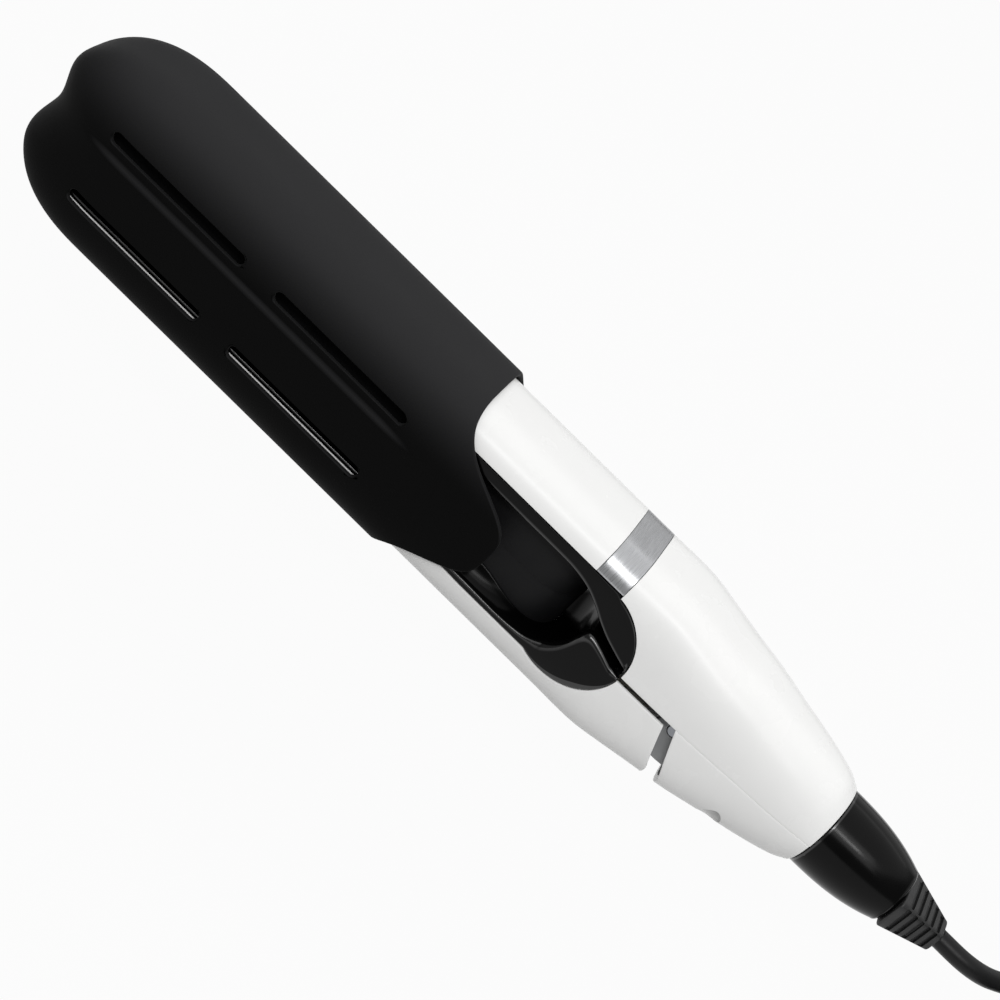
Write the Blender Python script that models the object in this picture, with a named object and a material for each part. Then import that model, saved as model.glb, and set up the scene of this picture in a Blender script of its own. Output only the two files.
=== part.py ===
# Hair straightener with a silicone heat guard pushed over its closed arms.
# Metres, +Z up. The tip points to -X, the cord leaves towards +X, the arms are stacked in Z.
# The origin lies on the surface that the straightener rests on, under the middle of its box.

import math

import bmesh
import bpy
from mathutils import Vector

# Arms and tail
body_width = 0.0340
body_height = 0.0452
arm_length = 0.1682
ring_width = 0.0083
tail_length = 0.0723
tail_end_diameter = 0.0238
nose_length = 0.0300
nose_power = 2.5
squareness = 4.0
tail_end_squareness = 2.0
shell_wall = 0.0018
ring_wall = 0.0012
gap = 0.0003
overrun = 0.0100
arc_steps = 12

# The tail's taper: share of its length, then how far its width, height and squareness
# have gone from the arms' values to the values at the cap.
tail_shares = (
    (0.00, 0.000, 0.000, 0.000),
    (0.18, 0.000, 0.000, 0.000),
    (0.30, 0.020, 0.110, 0.150),
    (0.43, 0.080, 0.250, 0.300),
    (0.56, 0.235, 0.340, 0.500),
    (0.69, 0.410, 0.490, 0.650),
    (0.83, 0.590, 0.645, 0.800),
    (0.95, 0.860, 0.830, 0.925),
    (1.00, 1.000, 1.000, 1.000),
)
nose_shares = (0.01, 0.05, 0.12, 0.22, 0.36, 0.55, 0.78, 1.00)

# Edges of the shells, measured up or down from the body's axis
upper_shell_depth = 0.0074
upper_edge = body_height / 2 - upper_shell_depth
upper_band = 0.0037
upper_rim = upper_edge - upper_band
upper_floor = 0.0018
lower_shell_depth = 0.0094
lower_edge = body_height / 2 - lower_shell_depth
lower_tip_edge_share = 0.522
lower_tip_edge = body_height / 2 * lower_tip_edge_share
lower_tip_band = 0.0014
lower_tip_rim = lower_tip_edge - lower_tip_band
lower_floor = 0.0011
lower_taper_front_setback = 0.0520
lower_taper_front = arm_length - lower_taper_front_setback
lower_taper_rear_setback = 0.0200
lower_taper_rear = arm_length - lower_taper_rear_setback
seam_gap = 0.0003

# Round hinge zone: its disc is centred on the axis, this far in front of the tail's start
hinge_disc_drop = 0.0007
hinge_disc_radius = upper_edge - hinge_disc_drop
hinge_disc_setback = 0.0013
# The rims close the gap between the arms here: shares of the disc's radius from its centre
upper_rim_shares = (
    (-1.15, 0.793),
    (-0.76, 0.779),
    (-0.41, 0.710),
    (-0.10, 0.572),
    (0.14, 0.427),
    (0.39, 0.303),
    (0.69, 0.193),
    (0.99, 0.090),
)
lower_rim_shares = (
    (-1.15, -0.793),
    (-0.80, -0.772),
    (-0.48, -0.710),
    (-0.21, -0.552),
    (-0.03, -0.310),
    (0.055, -0.035),
    (0.12, 0.138),
    (0.24, 0.180),
    (0.48, 0.110),
    (0.76, 0.000),
    (0.99, -0.062),
)

# Rear end of the lower arm and the hinge
pivot_from_tail = 0.0312
pivot_drop = 0.0030
pin_radius = 0.0015
pin_length = 0.0252
arm_end_top = -0.0032
arm_end_bottom = 0.0018
tail_front_top = -0.0006
tail_front_bottom = 0.0058
slant_depth = 0.0150
extension_top = 0.0013
knuckle_radius = 0.0034
knuckle_width = 0.0084
tongue_width = 0.0074
tongue_height = 0.0036
tongue_length = 0.0240
ear_thickness = 0.0032
bracket_setback = 0.0062
bracket_length = 0.0068
bracket_top = 0.0012
bracket_depth = 0.0130
cheek_reach = 0.0045
cheek_drop = 0.0090
cheek_rise = 0.0020
spring_wire = 0.0008
spring_turns = 3
spring_leg = 0.0110

# Plate frames, the raised matt islands that carry the plates
frame_side_step = 0.0050
frame_width = body_width - 2 * frame_side_step
frame_front = 0.0077
frame_overhang = 0.0027
frame_rear = arm_length + frame_overhang
frame_relief = 0.00035
frame_flange_reach = 0.0020
frame_flange_width = frame_width + 2 * frame_flange_reach
frame_flange_height = 0.0014
flange_front = 0.0300
flange_rear = 0.1120
plate_front = 0.0202
plate_length = 0.0980
frame_cheek = 0.0015
plate_width = frame_width - 2 * frame_cheek
plate_thickness = 0.0024
plate_relief = 0.00015
pocket_cover = 0.0023
pocket_depth = lower_tip_edge - pocket_cover
frame_bridge = 0.0047
frame_end_wall = 0.0050
frame_cavity_length = (
    frame_rear - plate_front - plate_length - frame_bridge - frame_end_wall
)
frame_cavity_wall = 0.0025
frame_cavity_width = frame_width - 2 * frame_cavity_wall
frame_cavity_floor = 0.0030
lead_slot_width = 0.0120
lead_slot_height = 0.0060
heater_length = 0.0800
heater_margin = 0.0025
heater_width = plate_width - 2 * heater_margin
heater_thickness = 0.0030
leaf_thickness = 0.0005
leaf_width = 0.0120
leaf_length = 0.0640
fuse_radius = 0.0012
fuse_length = 0.0100
fuse_wall_space = 0.0013
fuse_offset = frame_cavity_width / 2 - fuse_wall_space - fuse_radius
fuse_from_bridge = 0.0030

# Heater leads
heater_lead_radius = 0.0008
heater_lead_spread = 0.0017

# Tail end cap and strain relief
cap_length = 0.0247
cap_end_diameter = 0.0154
cap_step = 0.0006
cap_wall = 0.0020
cap_edge_radius = 0.0008
cap_neck_length = 0.0050
cap_neck_wall = 0.0014
cap_curve_power = 2.6
relief_length = 0.0140
relief_start_width = 0.0176
relief_start_height = 0.0104
relief_end_width = 0.0074
relief_end_height = 0.0060
relief_neck_radius = 0.0042
relief_flange_radius = 0.0064
relief_flange_thickness = 0.0021
relief_slots = 5
relief_slot_depth = 0.0008
relief_slot_width = 0.0010
relief_slot_pitch = 0.0022
relief_slot_start = 0.0022
relief_squareness = 7.0

# Electronics in the tail
board_front = 0.0100
board_length = 0.0370
board_thickness = 0.0016
post_radius = 0.0015
post_offset = 0.0082
switch_size = 0.0060
switch_height = 0.0070
button_from_tail = 0.0220
button_depth = 0.0118
button_height = body_height / 2 - button_depth
button_over_board = 0.0048
board_height = button_height - button_over_board
button_radius = 0.0034
button_flange = 0.0010
button_lip = 0.0007
button_travel = 0.0008
lens_spacing = 0.0090
lens_radius = 0.0013
capacitor_radius = 0.0034
capacitor_length = 0.0100
capacitor_from_tail = 0.0370

# Cord anchorage and the tail's screw
anchor_from_tail = 0.0610
inner_lead_radius = 0.0025
inner_lead_length = 0.0300
clamp_thickness = 0.0025
clamp_length = 0.0050
clamp_width = 0.0176
clamp_screw_offset = 0.0062
clamp_boss_radius = 0.0024
saddle_width = 0.0060
screw_radius = 0.0009
screw_head_radius = 0.0019
screw_head_height = 0.0012
clamp_screw_length = 0.0090
tail_screw_from_tail = 0.0518
tail_screw_side_step = 0.0065
tail_screw_offset = body_width / 2 - tail_screw_side_step
tail_screw_length = 0.0110
recess_radius = 0.0029
recess_floor = 0.0065
tail_boss_radius = 0.0043
upper_boss_radius = 0.0021
screw_floor = 0.0014

# Heat guard
guard_wall = 0.0015
guard_fit = 0.0003
guard_tongue_setback = 0.0178
guard_tongue_end = arm_length - guard_tongue_setback
guard_scoop_depth = 0.0265
guard_tongue_half_height = 0.0137
guard_tongue_drop = 0.0015
guard_notch_depth = 0.0030
guard_notch_half_height = 0.0110
guard_foot = 0.0003
slot_height = 0.0033
slot_bridge = 0.0099
slot_rear_margin = 0.0084
upper_slot_rise = 0.0088
lower_slot_drop = 0.0098
front_slot_start = 0.0226
slot_length = (
    guard_tongue_end - guard_scoop_depth - front_slot_start - slot_bridge - slot_rear_margin
) / 2
rear_slot_start = front_slot_start + slot_length + slot_bridge

# Mains cord
cord_diameter = 0.0050
lead_straight = 0.0050
lead_bend_radius = 0.0200
lead_bend_angle = 0.705
lead_points = 24
bend_points = 6
hank_start = 0.1955
hank_run = 0.0800
hank_fold_radius = 0.0150
hank_side_step = 0.0064
hank_layer_step = 0.0062
hank_layers = 4
hank_waist_dip = 0.0045
loop_points = 24
run_steps = 4
end_straight = 0.0030
end_bend_length = 0.0340
end_points = 12
tie_width = 0.0080
tie_thickness = 0.0008
tie_corner = 0.0060

# Plug on the end of the cord
plug_y = 0.0100
plug_length = 0.0280
plug_face_width = 0.0250
plug_face_height = 0.0125
plug_tail_width = 0.0095
plug_squareness = 4.5
blade_spacing = 0.0127
blade_thickness = 0.0015
blade_height = 0.0063
blade_length = 0.0170
blade_root = 0.0030
blade_hole_radius = 0.0015
blade_hole_setback = 0.0043
# Share of the plug's length, share of its widening, share of its thickening
plug_shares = (
    (0.00, 0.00, 0.00),
    (0.20, 0.04, 0.10),
    (0.40, 0.22, 0.35),
    (0.60, 0.66, 0.72),
    (0.78, 0.96, 0.95),
    (0.92, 1.00, 1.00),
    (1.00, 0.96, 0.95),
)

# Places along X
overall_length = (
    guard_wall + guard_fit + arm_length + ring_width + tail_length + cap_length + relief_length
)
guard_tip = -overall_length / 2
arm_tip = guard_tip + guard_wall + guard_fit
ring_front = arm_tip + arm_length
tail_start = ring_front + ring_width
tail_end = tail_start + tail_length
cap_start = tail_end + gap
cap_end = tail_end + cap_length
relief_end = cap_end + relief_length
disc_x = tail_start - hinge_disc_setback
disc_end = disc_x + hinge_disc_radius
pivot_x = tail_start + pivot_from_tail
anchor_x = tail_start + anchor_from_tail
tail_screw_x = tail_start + tail_screw_from_tail

# Heights
axis_z = body_height / 2 + guard_fit + guard_wall - guard_foot
pivot_z = axis_z - pivot_drop

ring_points = 36
round_points = 24


def clear_scene():
    for old in list(bpy.data.objects):
        bpy.data.objects.remove(old, do_unlink=True)


def new_collection(name):
    collection = bpy.data.collections.new(name)
    bpy.context.scene.collection.children.link(collection)
    return collection


clear_scene()
parts = new_collection("hair_straightener")
cutters = new_collection("cutters")


def new_material(name, colour, roughness, metallic=0.0):
    material = bpy.data.materials.new(name)
    material.use_nodes = True
    shader = material.node_tree.nodes["Principled BSDF"]
    shader.inputs["Base Color"].default_value = (*colour, 1.0)
    shader.inputs["Roughness"].default_value = roughness
    shader.inputs["Metallic"].default_value = metallic
    return material


white_gloss = new_material("white_gloss_plastic", (0.90, 0.90, 0.90), 0.25)
black_gloss = new_material("black_gloss_plastic", (0.006, 0.006, 0.007), 0.10)
black_matt = new_material("black_matt_plastic", (0.012, 0.012, 0.013), 0.55)
silicone = new_material("black_silicone", (0.014, 0.014, 0.015), 0.62)
soft_black = new_material("soft_black_plastic", (0.02, 0.02, 0.02), 0.50)
grey_plastic = new_material("grey_plastic", (0.30, 0.30, 0.30), 0.50)
satin_metal = new_material("satin_metal", (0.60, 0.60, 0.61), 0.30, 1.0)
spring_steel = new_material("spring_steel", (0.45, 0.45, 0.46), 0.30, 1.0)
ceramic_plate = new_material("ceramic_coated_plate", (0.05, 0.05, 0.06), 0.25)
heater_foil = new_material("heater_foil", (0.65, 0.40, 0.15), 0.40)
board_green = new_material("circuit_board", (0.02, 0.15, 0.05), 0.50)
lens_clear = new_material("indicator_lens", (0.75, 0.10, 0.08), 0.15)
lead_sleeve = new_material("lead_sleeve", (0.70, 0.70, 0.66), 0.50)


def add_object(name, mesh, material=None):
    piece = bpy.data.objects.new(name, mesh)
    if material:
        mesh.materials.append(material)
        parts.objects.link(piece)
    else:
        piece.hide_render = True
        piece.display_type = "WIRE"
        cutters.objects.link(piece)
    return piece


def finish_mesh(name, bm):
    bmesh.ops.recalc_face_normals(bm, faces=bm.faces)
    mesh = bpy.data.meshes.new(name)
    bm.to_mesh(mesh)
    bm.free()
    mesh.shade_smooth()
    mesh.set_sharp_from_angle(angle=math.radians(35))
    return mesh


def boolean(piece, cutter, operation="DIFFERENCE"):
    modifier = piece.modifiers.new(operation.lower(), "BOOLEAN")
    modifier.operation = operation
    modifier.object = cutter
    modifier.solver = "EXACT"
    return piece


def box(name, low, high, material=None):
    bm = bmesh.new()
    bmesh.ops.create_cube(bm, size=1)
    low, high = Vector(low), Vector(high)
    bmesh.ops.scale(bm, vec=high - low, verts=bm.verts)
    bmesh.ops.translate(bm, vec=(high + low) / 2, verts=bm.verts)
    return add_object(name, finish_mesh(name, bm), material)


def turned(name, profile, start, axis, material=None, steps=round_points):
    # profile: (distance along the axis, radius) pairs of an outline that closes on itself
    # or on the axis
    bm = bmesh.new()
    corners = [bm.verts.new((radius, 0, along)) for along, radius in profile]
    for first, second in zip(corners, corners[1:] + corners[:1]):
        if first.co.x > 0 or second.co.x > 0:
            bm.edges.new((first, second))
    bmesh.ops.spin(
        bm,
        geom=bm.verts[:] + bm.edges[:],
        cent=(0, 0, 0),
        axis=(0, 0, 1),
        angle=2 * math.pi,
        steps=steps,
        use_merge=True,
    )
    bmesh.ops.remove_doubles(bm, verts=bm.verts, dist=0.000001)
    turn = Vector((0, 0, 1)).rotation_difference(Vector(axis)).to_matrix()
    bmesh.ops.rotate(bm, verts=bm.verts, cent=(0, 0, 0), matrix=turn)
    bmesh.ops.translate(bm, vec=start, verts=bm.verts)
    return add_object(name, finish_mesh(name, bm), material)


def rod(name, start, axis, radius, length, material=None, steps=round_points):
    bm = bmesh.new()
    bmesh.ops.create_cone(
        bm,
        cap_ends=True,
        cap_tris=False,
        segments=steps,
        radius1=radius,
        radius2=radius,
        depth=length,
    )
    turn = Vector((0, 0, 1)).rotation_difference(Vector(axis)).to_matrix()
    bmesh.ops.rotate(bm, verts=bm.verts, cent=(0, 0, 0), matrix=turn)
    middle = Vector(start) + Vector(axis) * length / 2
    bmesh.ops.translate(bm, vec=middle, verts=bm.verts)
    return add_object(name, finish_mesh(name, bm), material)


def slab(name, outline, plane, low, high, material=None, hole=None):
    # A flat outline, drawn in the XY, XZ or YZ plane, with a thickness from low to high
    curve = bpy.data.curves.new(name, "CURVE")
    curve.dimensions = "2D"
    curve.fill_mode = "BOTH"
    curve.extrude = (high - low) / 2
    for ring in (outline, hole) if hole else (outline,):
        spline = curve.splines.new("POLY")
        spline.points.add(len(ring) - 1)
        for point, (across, up) in zip(spline.points, ring):
            point.co = (across, up, 0, 1)
        spline.use_cyclic_u = True
    drawn = bpy.data.objects.new(name + "_outline", curve)
    bpy.context.scene.collection.objects.link(drawn)
    bpy.context.view_layer.update()
    evaluated = drawn.evaluated_get(bpy.context.evaluated_depsgraph_get())
    flat = bpy.data.meshes.new_from_object(evaluated)
    bpy.data.objects.remove(drawn, do_unlink=True)
    middle = (low + high) / 2
    bm = bmesh.new()
    bm.from_mesh(flat)
    bpy.data.meshes.remove(flat)
    for vert in bm.verts:
        across, up, through = vert.co
        vert.co = {
            "XY": (across, up, middle + through),
            "XZ": (across, middle + through, up),
            "YZ": (middle + through, across, up),
        }[plane]
    bmesh.ops.remove_doubles(bm, verts=bm.verts, dist=0.000001)
    return add_object(name, finish_mesh(name, bm), material)


def stadium(x_low, x_high, half_width):
    points = []
    for end, centre in ((1, x_high - half_width), (-1, x_low + half_width)):
        for step in range(arc_steps + 1):
            angle = math.pi * (step / arc_steps - 0.5)
            points.append(
                (
                    centre + end * half_width * math.cos(angle),
                    end * half_width * math.sin(angle),
                )
            )
    return points


def tube(name, points, radius, material, resolution=2):
    curve = bpy.data.curves.new(name, "CURVE")
    curve.dimensions = "3D"
    curve.bevel_depth = radius
    curve.bevel_resolution = resolution
    curve.use_fill_caps = True
    spline = curve.splines.new("POLY")
    spline.points.add(len(points) - 1)
    for point, place in zip(spline.points, points):
        point.co = (*place, 1)
    curve.materials.append(material)
    piece = bpy.data.objects.new(name, curve)
    parts.objects.link(piece)
    return piece


def smooth_curve(points, count):
    # Catmull-Rom curve through the points, read at equal steps of its length
    points = [Vector(p) for p in points]
    ends = [2 * points[0] - points[1], *points, 2 * points[-1] - points[-2]]
    fine = []
    pieces = 24
    for a, b, c, d in zip(ends, ends[1:], ends[2:], ends[3:]):
        for step in range(pieces):
            t = step / pieces
            fine.append(
                (
                    2 * b
                    + (c - a) * t
                    + (2 * a - 5 * b + 4 * c - d) * t**2
                    + (3 * b - a - 3 * c + d) * t**3
                )
                / 2
            )
    fine.append(points[-1])
    lengths = [0.0]
    for first, second in zip(fine, fine[1:]):
        lengths.append(lengths[-1] + (second - first).length)
    out = []
    index = 0
    for step in range(count):
        wanted = lengths[-1] * step / (count - 1)
        while index < len(fine) - 2 and lengths[index + 1] < wanted:
            index += 1
        share = (wanted - lengths[index]) / (lengths[index + 1] - lengths[index])
        out.append(fine[index].lerp(fine[index + 1], min(share, 1)))
    return out


def table_value(rows, share, column):
    # Smooth reading of one column of a table of shares
    share = min(max(share, rows[0][0]), rows[-1][0])
    index = max(i for i in range(len(rows) - 1) if rows[i][0] <= share)
    before, start = rows[max(index - 1, 0)], rows[index]
    end, after = rows[index + 1], rows[min(index + 2, len(rows) - 1)]
    span = end[0] - start[0]
    t = (share - start[0]) / span
    slope_in = (end[column] - before[column]) / (end[0] - before[0]) * span
    slope_out = (after[column] - start[column]) / (after[0] - start[0]) * span
    return (
        (2 * t**3 - 3 * t**2 + 1) * start[column]
        + (t**3 - 2 * t**2 + t) * slope_in
        + (3 * t**2 - 2 * t**3) * end[column]
        + (t**3 - t**2) * slope_out
    )


def section_at(x, inset):
    # Half width, half height and squareness of the body at x, drawn in by inset
    share = (x - tail_start) / tail_length
    widening, raising, rounding = (
        (table_value(tail_shares, share, column) for column in (1, 2, 3))
        if share > 0
        else (0, 0, 0)
    )
    half_width = (body_width + (tail_end_diameter - body_width) * widening) / 2 - inset
    half_height = (body_height + (tail_end_diameter - body_height) * raising) / 2 - inset
    power = squareness + (tail_end_squareness - squareness) * rounding
    nose = (x - arm_tip - inset) / (nose_length - inset)
    if nose < 1:
        fade = (1 - (1 - max(nose, 0)) ** nose_power) ** (1 / nose_power)
        half_width, half_height = half_width * fade, half_height * fade
    return half_width, half_height, power


def side_at(x, height, inset):
    # Half width of the body at x, at a height above its axis
    half_width, half_height, power = section_at(x, inset)
    return half_width * (1 - (abs(height) / half_height) ** power) ** (1 / power)


def ring_of(half_width, half_height, power, count=ring_points):
    points = []
    for step in range(count):
        angle = 2 * math.pi * (step + 0.5) / count
        cosine, sine = math.cos(angle), math.sin(angle)
        points.append(
            (
                math.copysign(abs(cosine) ** (2 / power), cosine) * half_width,
                math.copysign(abs(sine) ** (2 / power), sine) * half_height,
            )
        )
    return points


def loft(name, rings, material=None, fan=False):
    # rings: lists of as many points each; the ends are closed flat, or by a fan of faces
    bm = bmesh.new()
    loops = [[bm.verts.new(point) for point in ring] for ring in rings]
    for first, second in zip(loops, loops[1:]):
        for step in range(len(first)):
            after = (step + 1) % len(first)
            bm.faces.new((first[step], first[after], second[after], second[step]))
    for loop in (loops[0], loops[-1]):
        if not fan:
            bm.faces.new(loop)
            continue
        centre = bm.verts.new(sum((v.co for v in loop), Vector()) / len(loop))
        for step in range(len(loop)):
            bm.faces.new((loop[step], loop[(step + 1) % len(loop)], centre))
    return add_object(name, finish_mesh(name, bm), material)


def body_stations(start, end, inset):
    nose_start = arm_tip + inset
    stations = [nose_start + (nose_length - inset) * share for share in nose_shares]
    shift = inset / 3
    stations += [tail_start + shift + tail_length * step / 14 for step in range(2, 15)]
    stations = [x for x in stations if start + gap < x < end - gap]
    return [max(start, nose_start + (nose_length - inset) * nose_shares[0]), *stations, end]


def envelope(name, start, end, inset, material=None, notch=0.0):
    rings = []
    for x in body_stations(start, end, inset):
        half_width, half_height, power = section_at(x, inset)
        nose = min((x - arm_tip - inset) / (nose_length - inset), 1)
        ring = []
        for y, z in ring_of(half_width, half_height, power):
            reach = min(abs(z) / guard_notch_half_height, 1)
            dent = notch * (1 - nose) * (1 + math.cos(math.pi * reach)) / 2
            ring.append((x + dent, y, axis_z + z))
        rings.append(ring)
    return loft(name, rings, material, notch > 0)


def disc_curve(radius, start_x, end_x, side):
    # Points of the hinge disc's rim from start_x to end_x, above (+1) or below (-1) the axis
    start = math.acos(max(-1, min(1, (start_x - disc_x) / radius)))
    end = math.acos(max(-1, min(1, (end_x - disc_x) / radius)))
    return [
        (
            disc_x + radius * math.cos(start + (end - start) * step / arc_steps),
            axis_z + side * radius * math.sin(start + (end - start) * step / arc_steps),
        )
        for step in range(arc_steps + 1)
    ]


side_reach = body_width
above = axis_z + body_height
below = axis_z - body_height


def make_upper_arm():
    outer = envelope("upper_outer_shell", arm_tip, ring_front - gap, 0, white_gloss)
    hollow = envelope("upper_outer_hollow", arm_tip, ring_front + overrun, shell_wall)
    under = box(
        "upper_outer_under",
        (arm_tip - overrun, -side_reach, below),
        (ring_front + overrun, side_reach, axis_z + upper_edge),
    )
    boolean(boolean(outer, under), hollow)

    ring = envelope("accent_ring", ring_front, tail_start - gap, 0, satin_metal)
    ring_hollow = envelope("accent_ring_hollow", ring_front - overrun, tail_start + overrun, ring_wall)
    ring_under = box(
        "accent_ring_under",
        (ring_front - overrun, -side_reach, below),
        (tail_start + overrun, side_reach, axis_z + upper_edge),
    )
    boolean(boolean(ring, ring_under), ring_hollow)


def upper_rim_points(lift):
    points = [(arm_tip - overrun, axis_z + upper_rim + lift)]
    for across, up in upper_rim_shares:
        points.append((disc_x + across * hinge_disc_radius, axis_z + up * hinge_disc_radius + lift))
    return points


def lower_rim_points(drop):
    points = [
        (arm_tip - overrun, axis_z - lower_tip_rim - drop),
        (arm_tip + lower_taper_front, axis_z - lower_tip_rim - drop),
    ]
    for across, up in lower_rim_shares:
        points.append((disc_x + across * hinge_disc_radius, axis_z + up * hinge_disc_radius - drop))
    return points


def make_upper_inner_shell():
    inner = envelope("upper_inner_shell", arm_tip, disc_end, 0, black_gloss)
    top_line = [
        (arm_tip - overrun, axis_z + upper_edge - gap),
        (disc_x, axis_z + upper_edge - gap),
        *disc_curve(hinge_disc_radius - gap, disc_x, disc_end - gap, 1)[:-1],
    ]
    keep = slab(
        "upper_inner_side",
        upper_rim_points(0)[:-1]
        + [(disc_end - gap, axis_z + upper_rim_shares[-1][1] * hinge_disc_radius)]
        + top_line[::-1],
        "XZ",
        -side_reach,
        side_reach,
    )
    boolean(inner, keep, "INTERSECT")
    hollow = envelope("upper_inner_hollow", arm_tip, disc_end + overrun, shell_wall)
    hollow_side = slab(
        "upper_inner_hollow_side",
        upper_rim_points(upper_floor)
        + [(disc_end + overrun, axis_z + gap), (disc_end + overrun, above)]
        + [(arm_tip - overrun, above)],
        "XZ",
        -side_reach,
        side_reach,
    )
    boolean(hollow, hollow_side, "INTERSECT")
    boolean(inner, hollow)
    opening = slab(
        "upper_inner_opening",
        stadium(
            arm_tip + frame_front - gap,
            arm_tip + frame_rear + gap,
            frame_width / 2 + gap,
        ),
        "XY",
        axis_z,
        above,
    )
    boolean(inner, opening)


def make_lower_arm():
    outer = envelope("lower_outer_shell", arm_tip, pivot_x + overrun, 0, white_gloss)
    hollow = envelope("lower_outer_hollow", arm_tip, pivot_x + 2 * overrun, shell_wall)
    edge_line = [
        (arm_tip - overrun, axis_z - lower_tip_edge),
        (arm_tip + lower_taper_front, axis_z - lower_tip_edge),
        (arm_tip + lower_taper_rear, axis_z - lower_edge),
    ]
    meet_x = disc_x - math.sqrt(hinge_disc_radius**2 - lower_edge**2)
    edge_line += disc_curve(hinge_disc_radius, meet_x, disc_end, -1)[:-1]
    edge_line += [
        (disc_end, axis_z - extension_top),
        (pivot_x + arm_end_top, axis_z - extension_top),
        (pivot_x + arm_end_bottom, axis_z - slant_depth),
        (pivot_x + arm_end_bottom, below),
        (arm_tip - overrun, below),
    ]
    keep = slab("lower_outer_side", edge_line, "XZ", -side_reach, side_reach)
    boolean(boolean(outer, keep, "INTERSECT"), hollow)

    inner = envelope("lower_inner_shell", arm_tip, disc_end, 0, black_gloss)
    bottom_line = [
        (arm_tip - overrun, axis_z - lower_tip_edge + gap),
        (arm_tip + lower_taper_front, axis_z - lower_tip_edge + gap),
        (arm_tip + lower_taper_rear, axis_z - lower_edge + gap),
    ]
    inner_radius = hinge_disc_radius - gap
    inner_edge = lower_edge - gap
    inner_meet_x = disc_x - math.sqrt(inner_radius**2 - inner_edge**2)
    bottom_line += disc_curve(inner_radius, inner_meet_x, disc_x + inner_radius, -1)[:-1]
    rim = lower_rim_points(0)
    rim[-1] = (disc_end - gap, rim[-1][1])
    inner_side = slab(
        "lower_inner_side",
        bottom_line + rim[::-1],
        "XZ",
        -side_reach,
        side_reach,
    )
    boolean(inner, inner_side, "INTERSECT")
    hollow_inner = envelope("lower_inner_hollow", arm_tip, disc_end + overrun, shell_wall)
    hollow_side = slab(
        "lower_inner_hollow_side",
        lower_rim_points(shell_wall)[1:]
        + [(disc_end + overrun, axis_z - extension_top - shell_wall), (disc_end + overrun, below)]
        + [(arm_tip + lower_taper_front, below)],
        "XZ",
        -side_reach,
        side_reach,
    )
    boolean(hollow_inner, hollow_side, "INTERSECT")
    boolean(inner, hollow_inner)
    opening = slab(
        "lower_inner_opening",
        stadium(
            arm_tip + frame_front - gap,
            arm_tip + frame_rear + gap,
            frame_width / 2 + gap,
        ),
        "XY",
        below,
        axis_z,
    )
    boolean(inner, opening)
    tongue = box(
        "knuckle_tongue",
        (pivot_x - tongue_length, -tongue_width / 2, pivot_z - tongue_height / 2),
        (pivot_x, tongue_width / 2, pivot_z + tongue_height / 2),
    )
    barrel = rod(
        "knuckle_barrel",
        (pivot_x, -knuckle_width / 2, pivot_z),
        (0, 1, 0),
        knuckle_radius,
        knuckle_width,
    )
    bore = rod(
        "knuckle_bore",
        (pivot_x, -body_width / 2, pivot_z),
        (0, 1, 0),
        pin_radius + gap,
        body_width,
    )
    boolean(tongue, barrel, "UNION")
    boolean(inner, tongue, "UNION")
    boolean(inner, bore)


def make_hinge():
    rod(
        "hinge_pin",
        (pivot_x, -pin_length / 2, pivot_z),
        (0, 1, 0),
        pin_radius,
        pin_length,
        spring_steel,
    )
    block_x = pivot_x + bracket_setback
    bracket = envelope(
        "hinge_bracket",
        block_x,
        block_x + bracket_length,
        shell_wall + gap,
        grey_plastic,
    )
    limits = box(
        "bracket_limits",
        (block_x - overrun, -side_reach, axis_z - bracket_depth),
        (block_x + 2 * overrun, side_reach, axis_z + bracket_top),
    )
    boolean(bracket, limits, "INTERSECT")
    ear_inner = knuckle_width / 2 + (spring_wire + gap) * (spring_turns + 1) + spring_wire
    for side in (-1, 1):
        ear_low, ear_high = sorted((side * ear_inner, side * (ear_inner + ear_thickness)))
        ear = box(
            f"bracket_ear_{side}",
            (pivot_x - cheek_reach, ear_low, pivot_z - cheek_drop),
            (block_x + bracket_length / 2, ear_high, pivot_z + cheek_rise),
        )
        inside = envelope(
            f"bracket_ear_limit_{side}",
            tail_start,
            tail_end,
            shell_wall + 2 * gap,
        )
        boolean(ear, inside, "INTERSECT")
        boolean(bracket, ear, "UNION")
        post = rod(
            f"bracket_post_{side}",
            (block_x + bracket_length / 2, side * post_offset, pivot_z),
            (0, 0, 1),
            post_radius,
            axis_z + board_height - gap - pivot_z,
        )
        boolean(bracket, post, "UNION")
    hole = rod(
        "bracket_pin_hole",
        (pivot_x, -body_width / 2, pivot_z),
        (0, 1, 0),
        pin_radius + gap,
        body_width,
    )
    boolean(bracket, hole)

    coil_radius = pin_radius + gap + spring_wire
    coil_start = knuckle_width / 2 + gap + spring_wire / 2
    points = [(pivot_x - spring_leg, coil_start, pivot_z + coil_radius)]
    steps = 10
    for step in range(steps * spring_turns + steps // 2 + 1):
        angle = math.pi / 2 - 2 * math.pi * step / steps
        along = coil_start + (spring_wire + gap) * step / steps
        points.append(
            (
                pivot_x + coil_radius * math.cos(angle),
                along,
                pivot_z + coil_radius * math.sin(angle),
            )
        )
    last = points[-1]
    points.append((last[0] - spring_leg / 2, last[1], last[2]))
    tube("hinge_spring", points, spring_wire / 2, spring_steel, 1)


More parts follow.
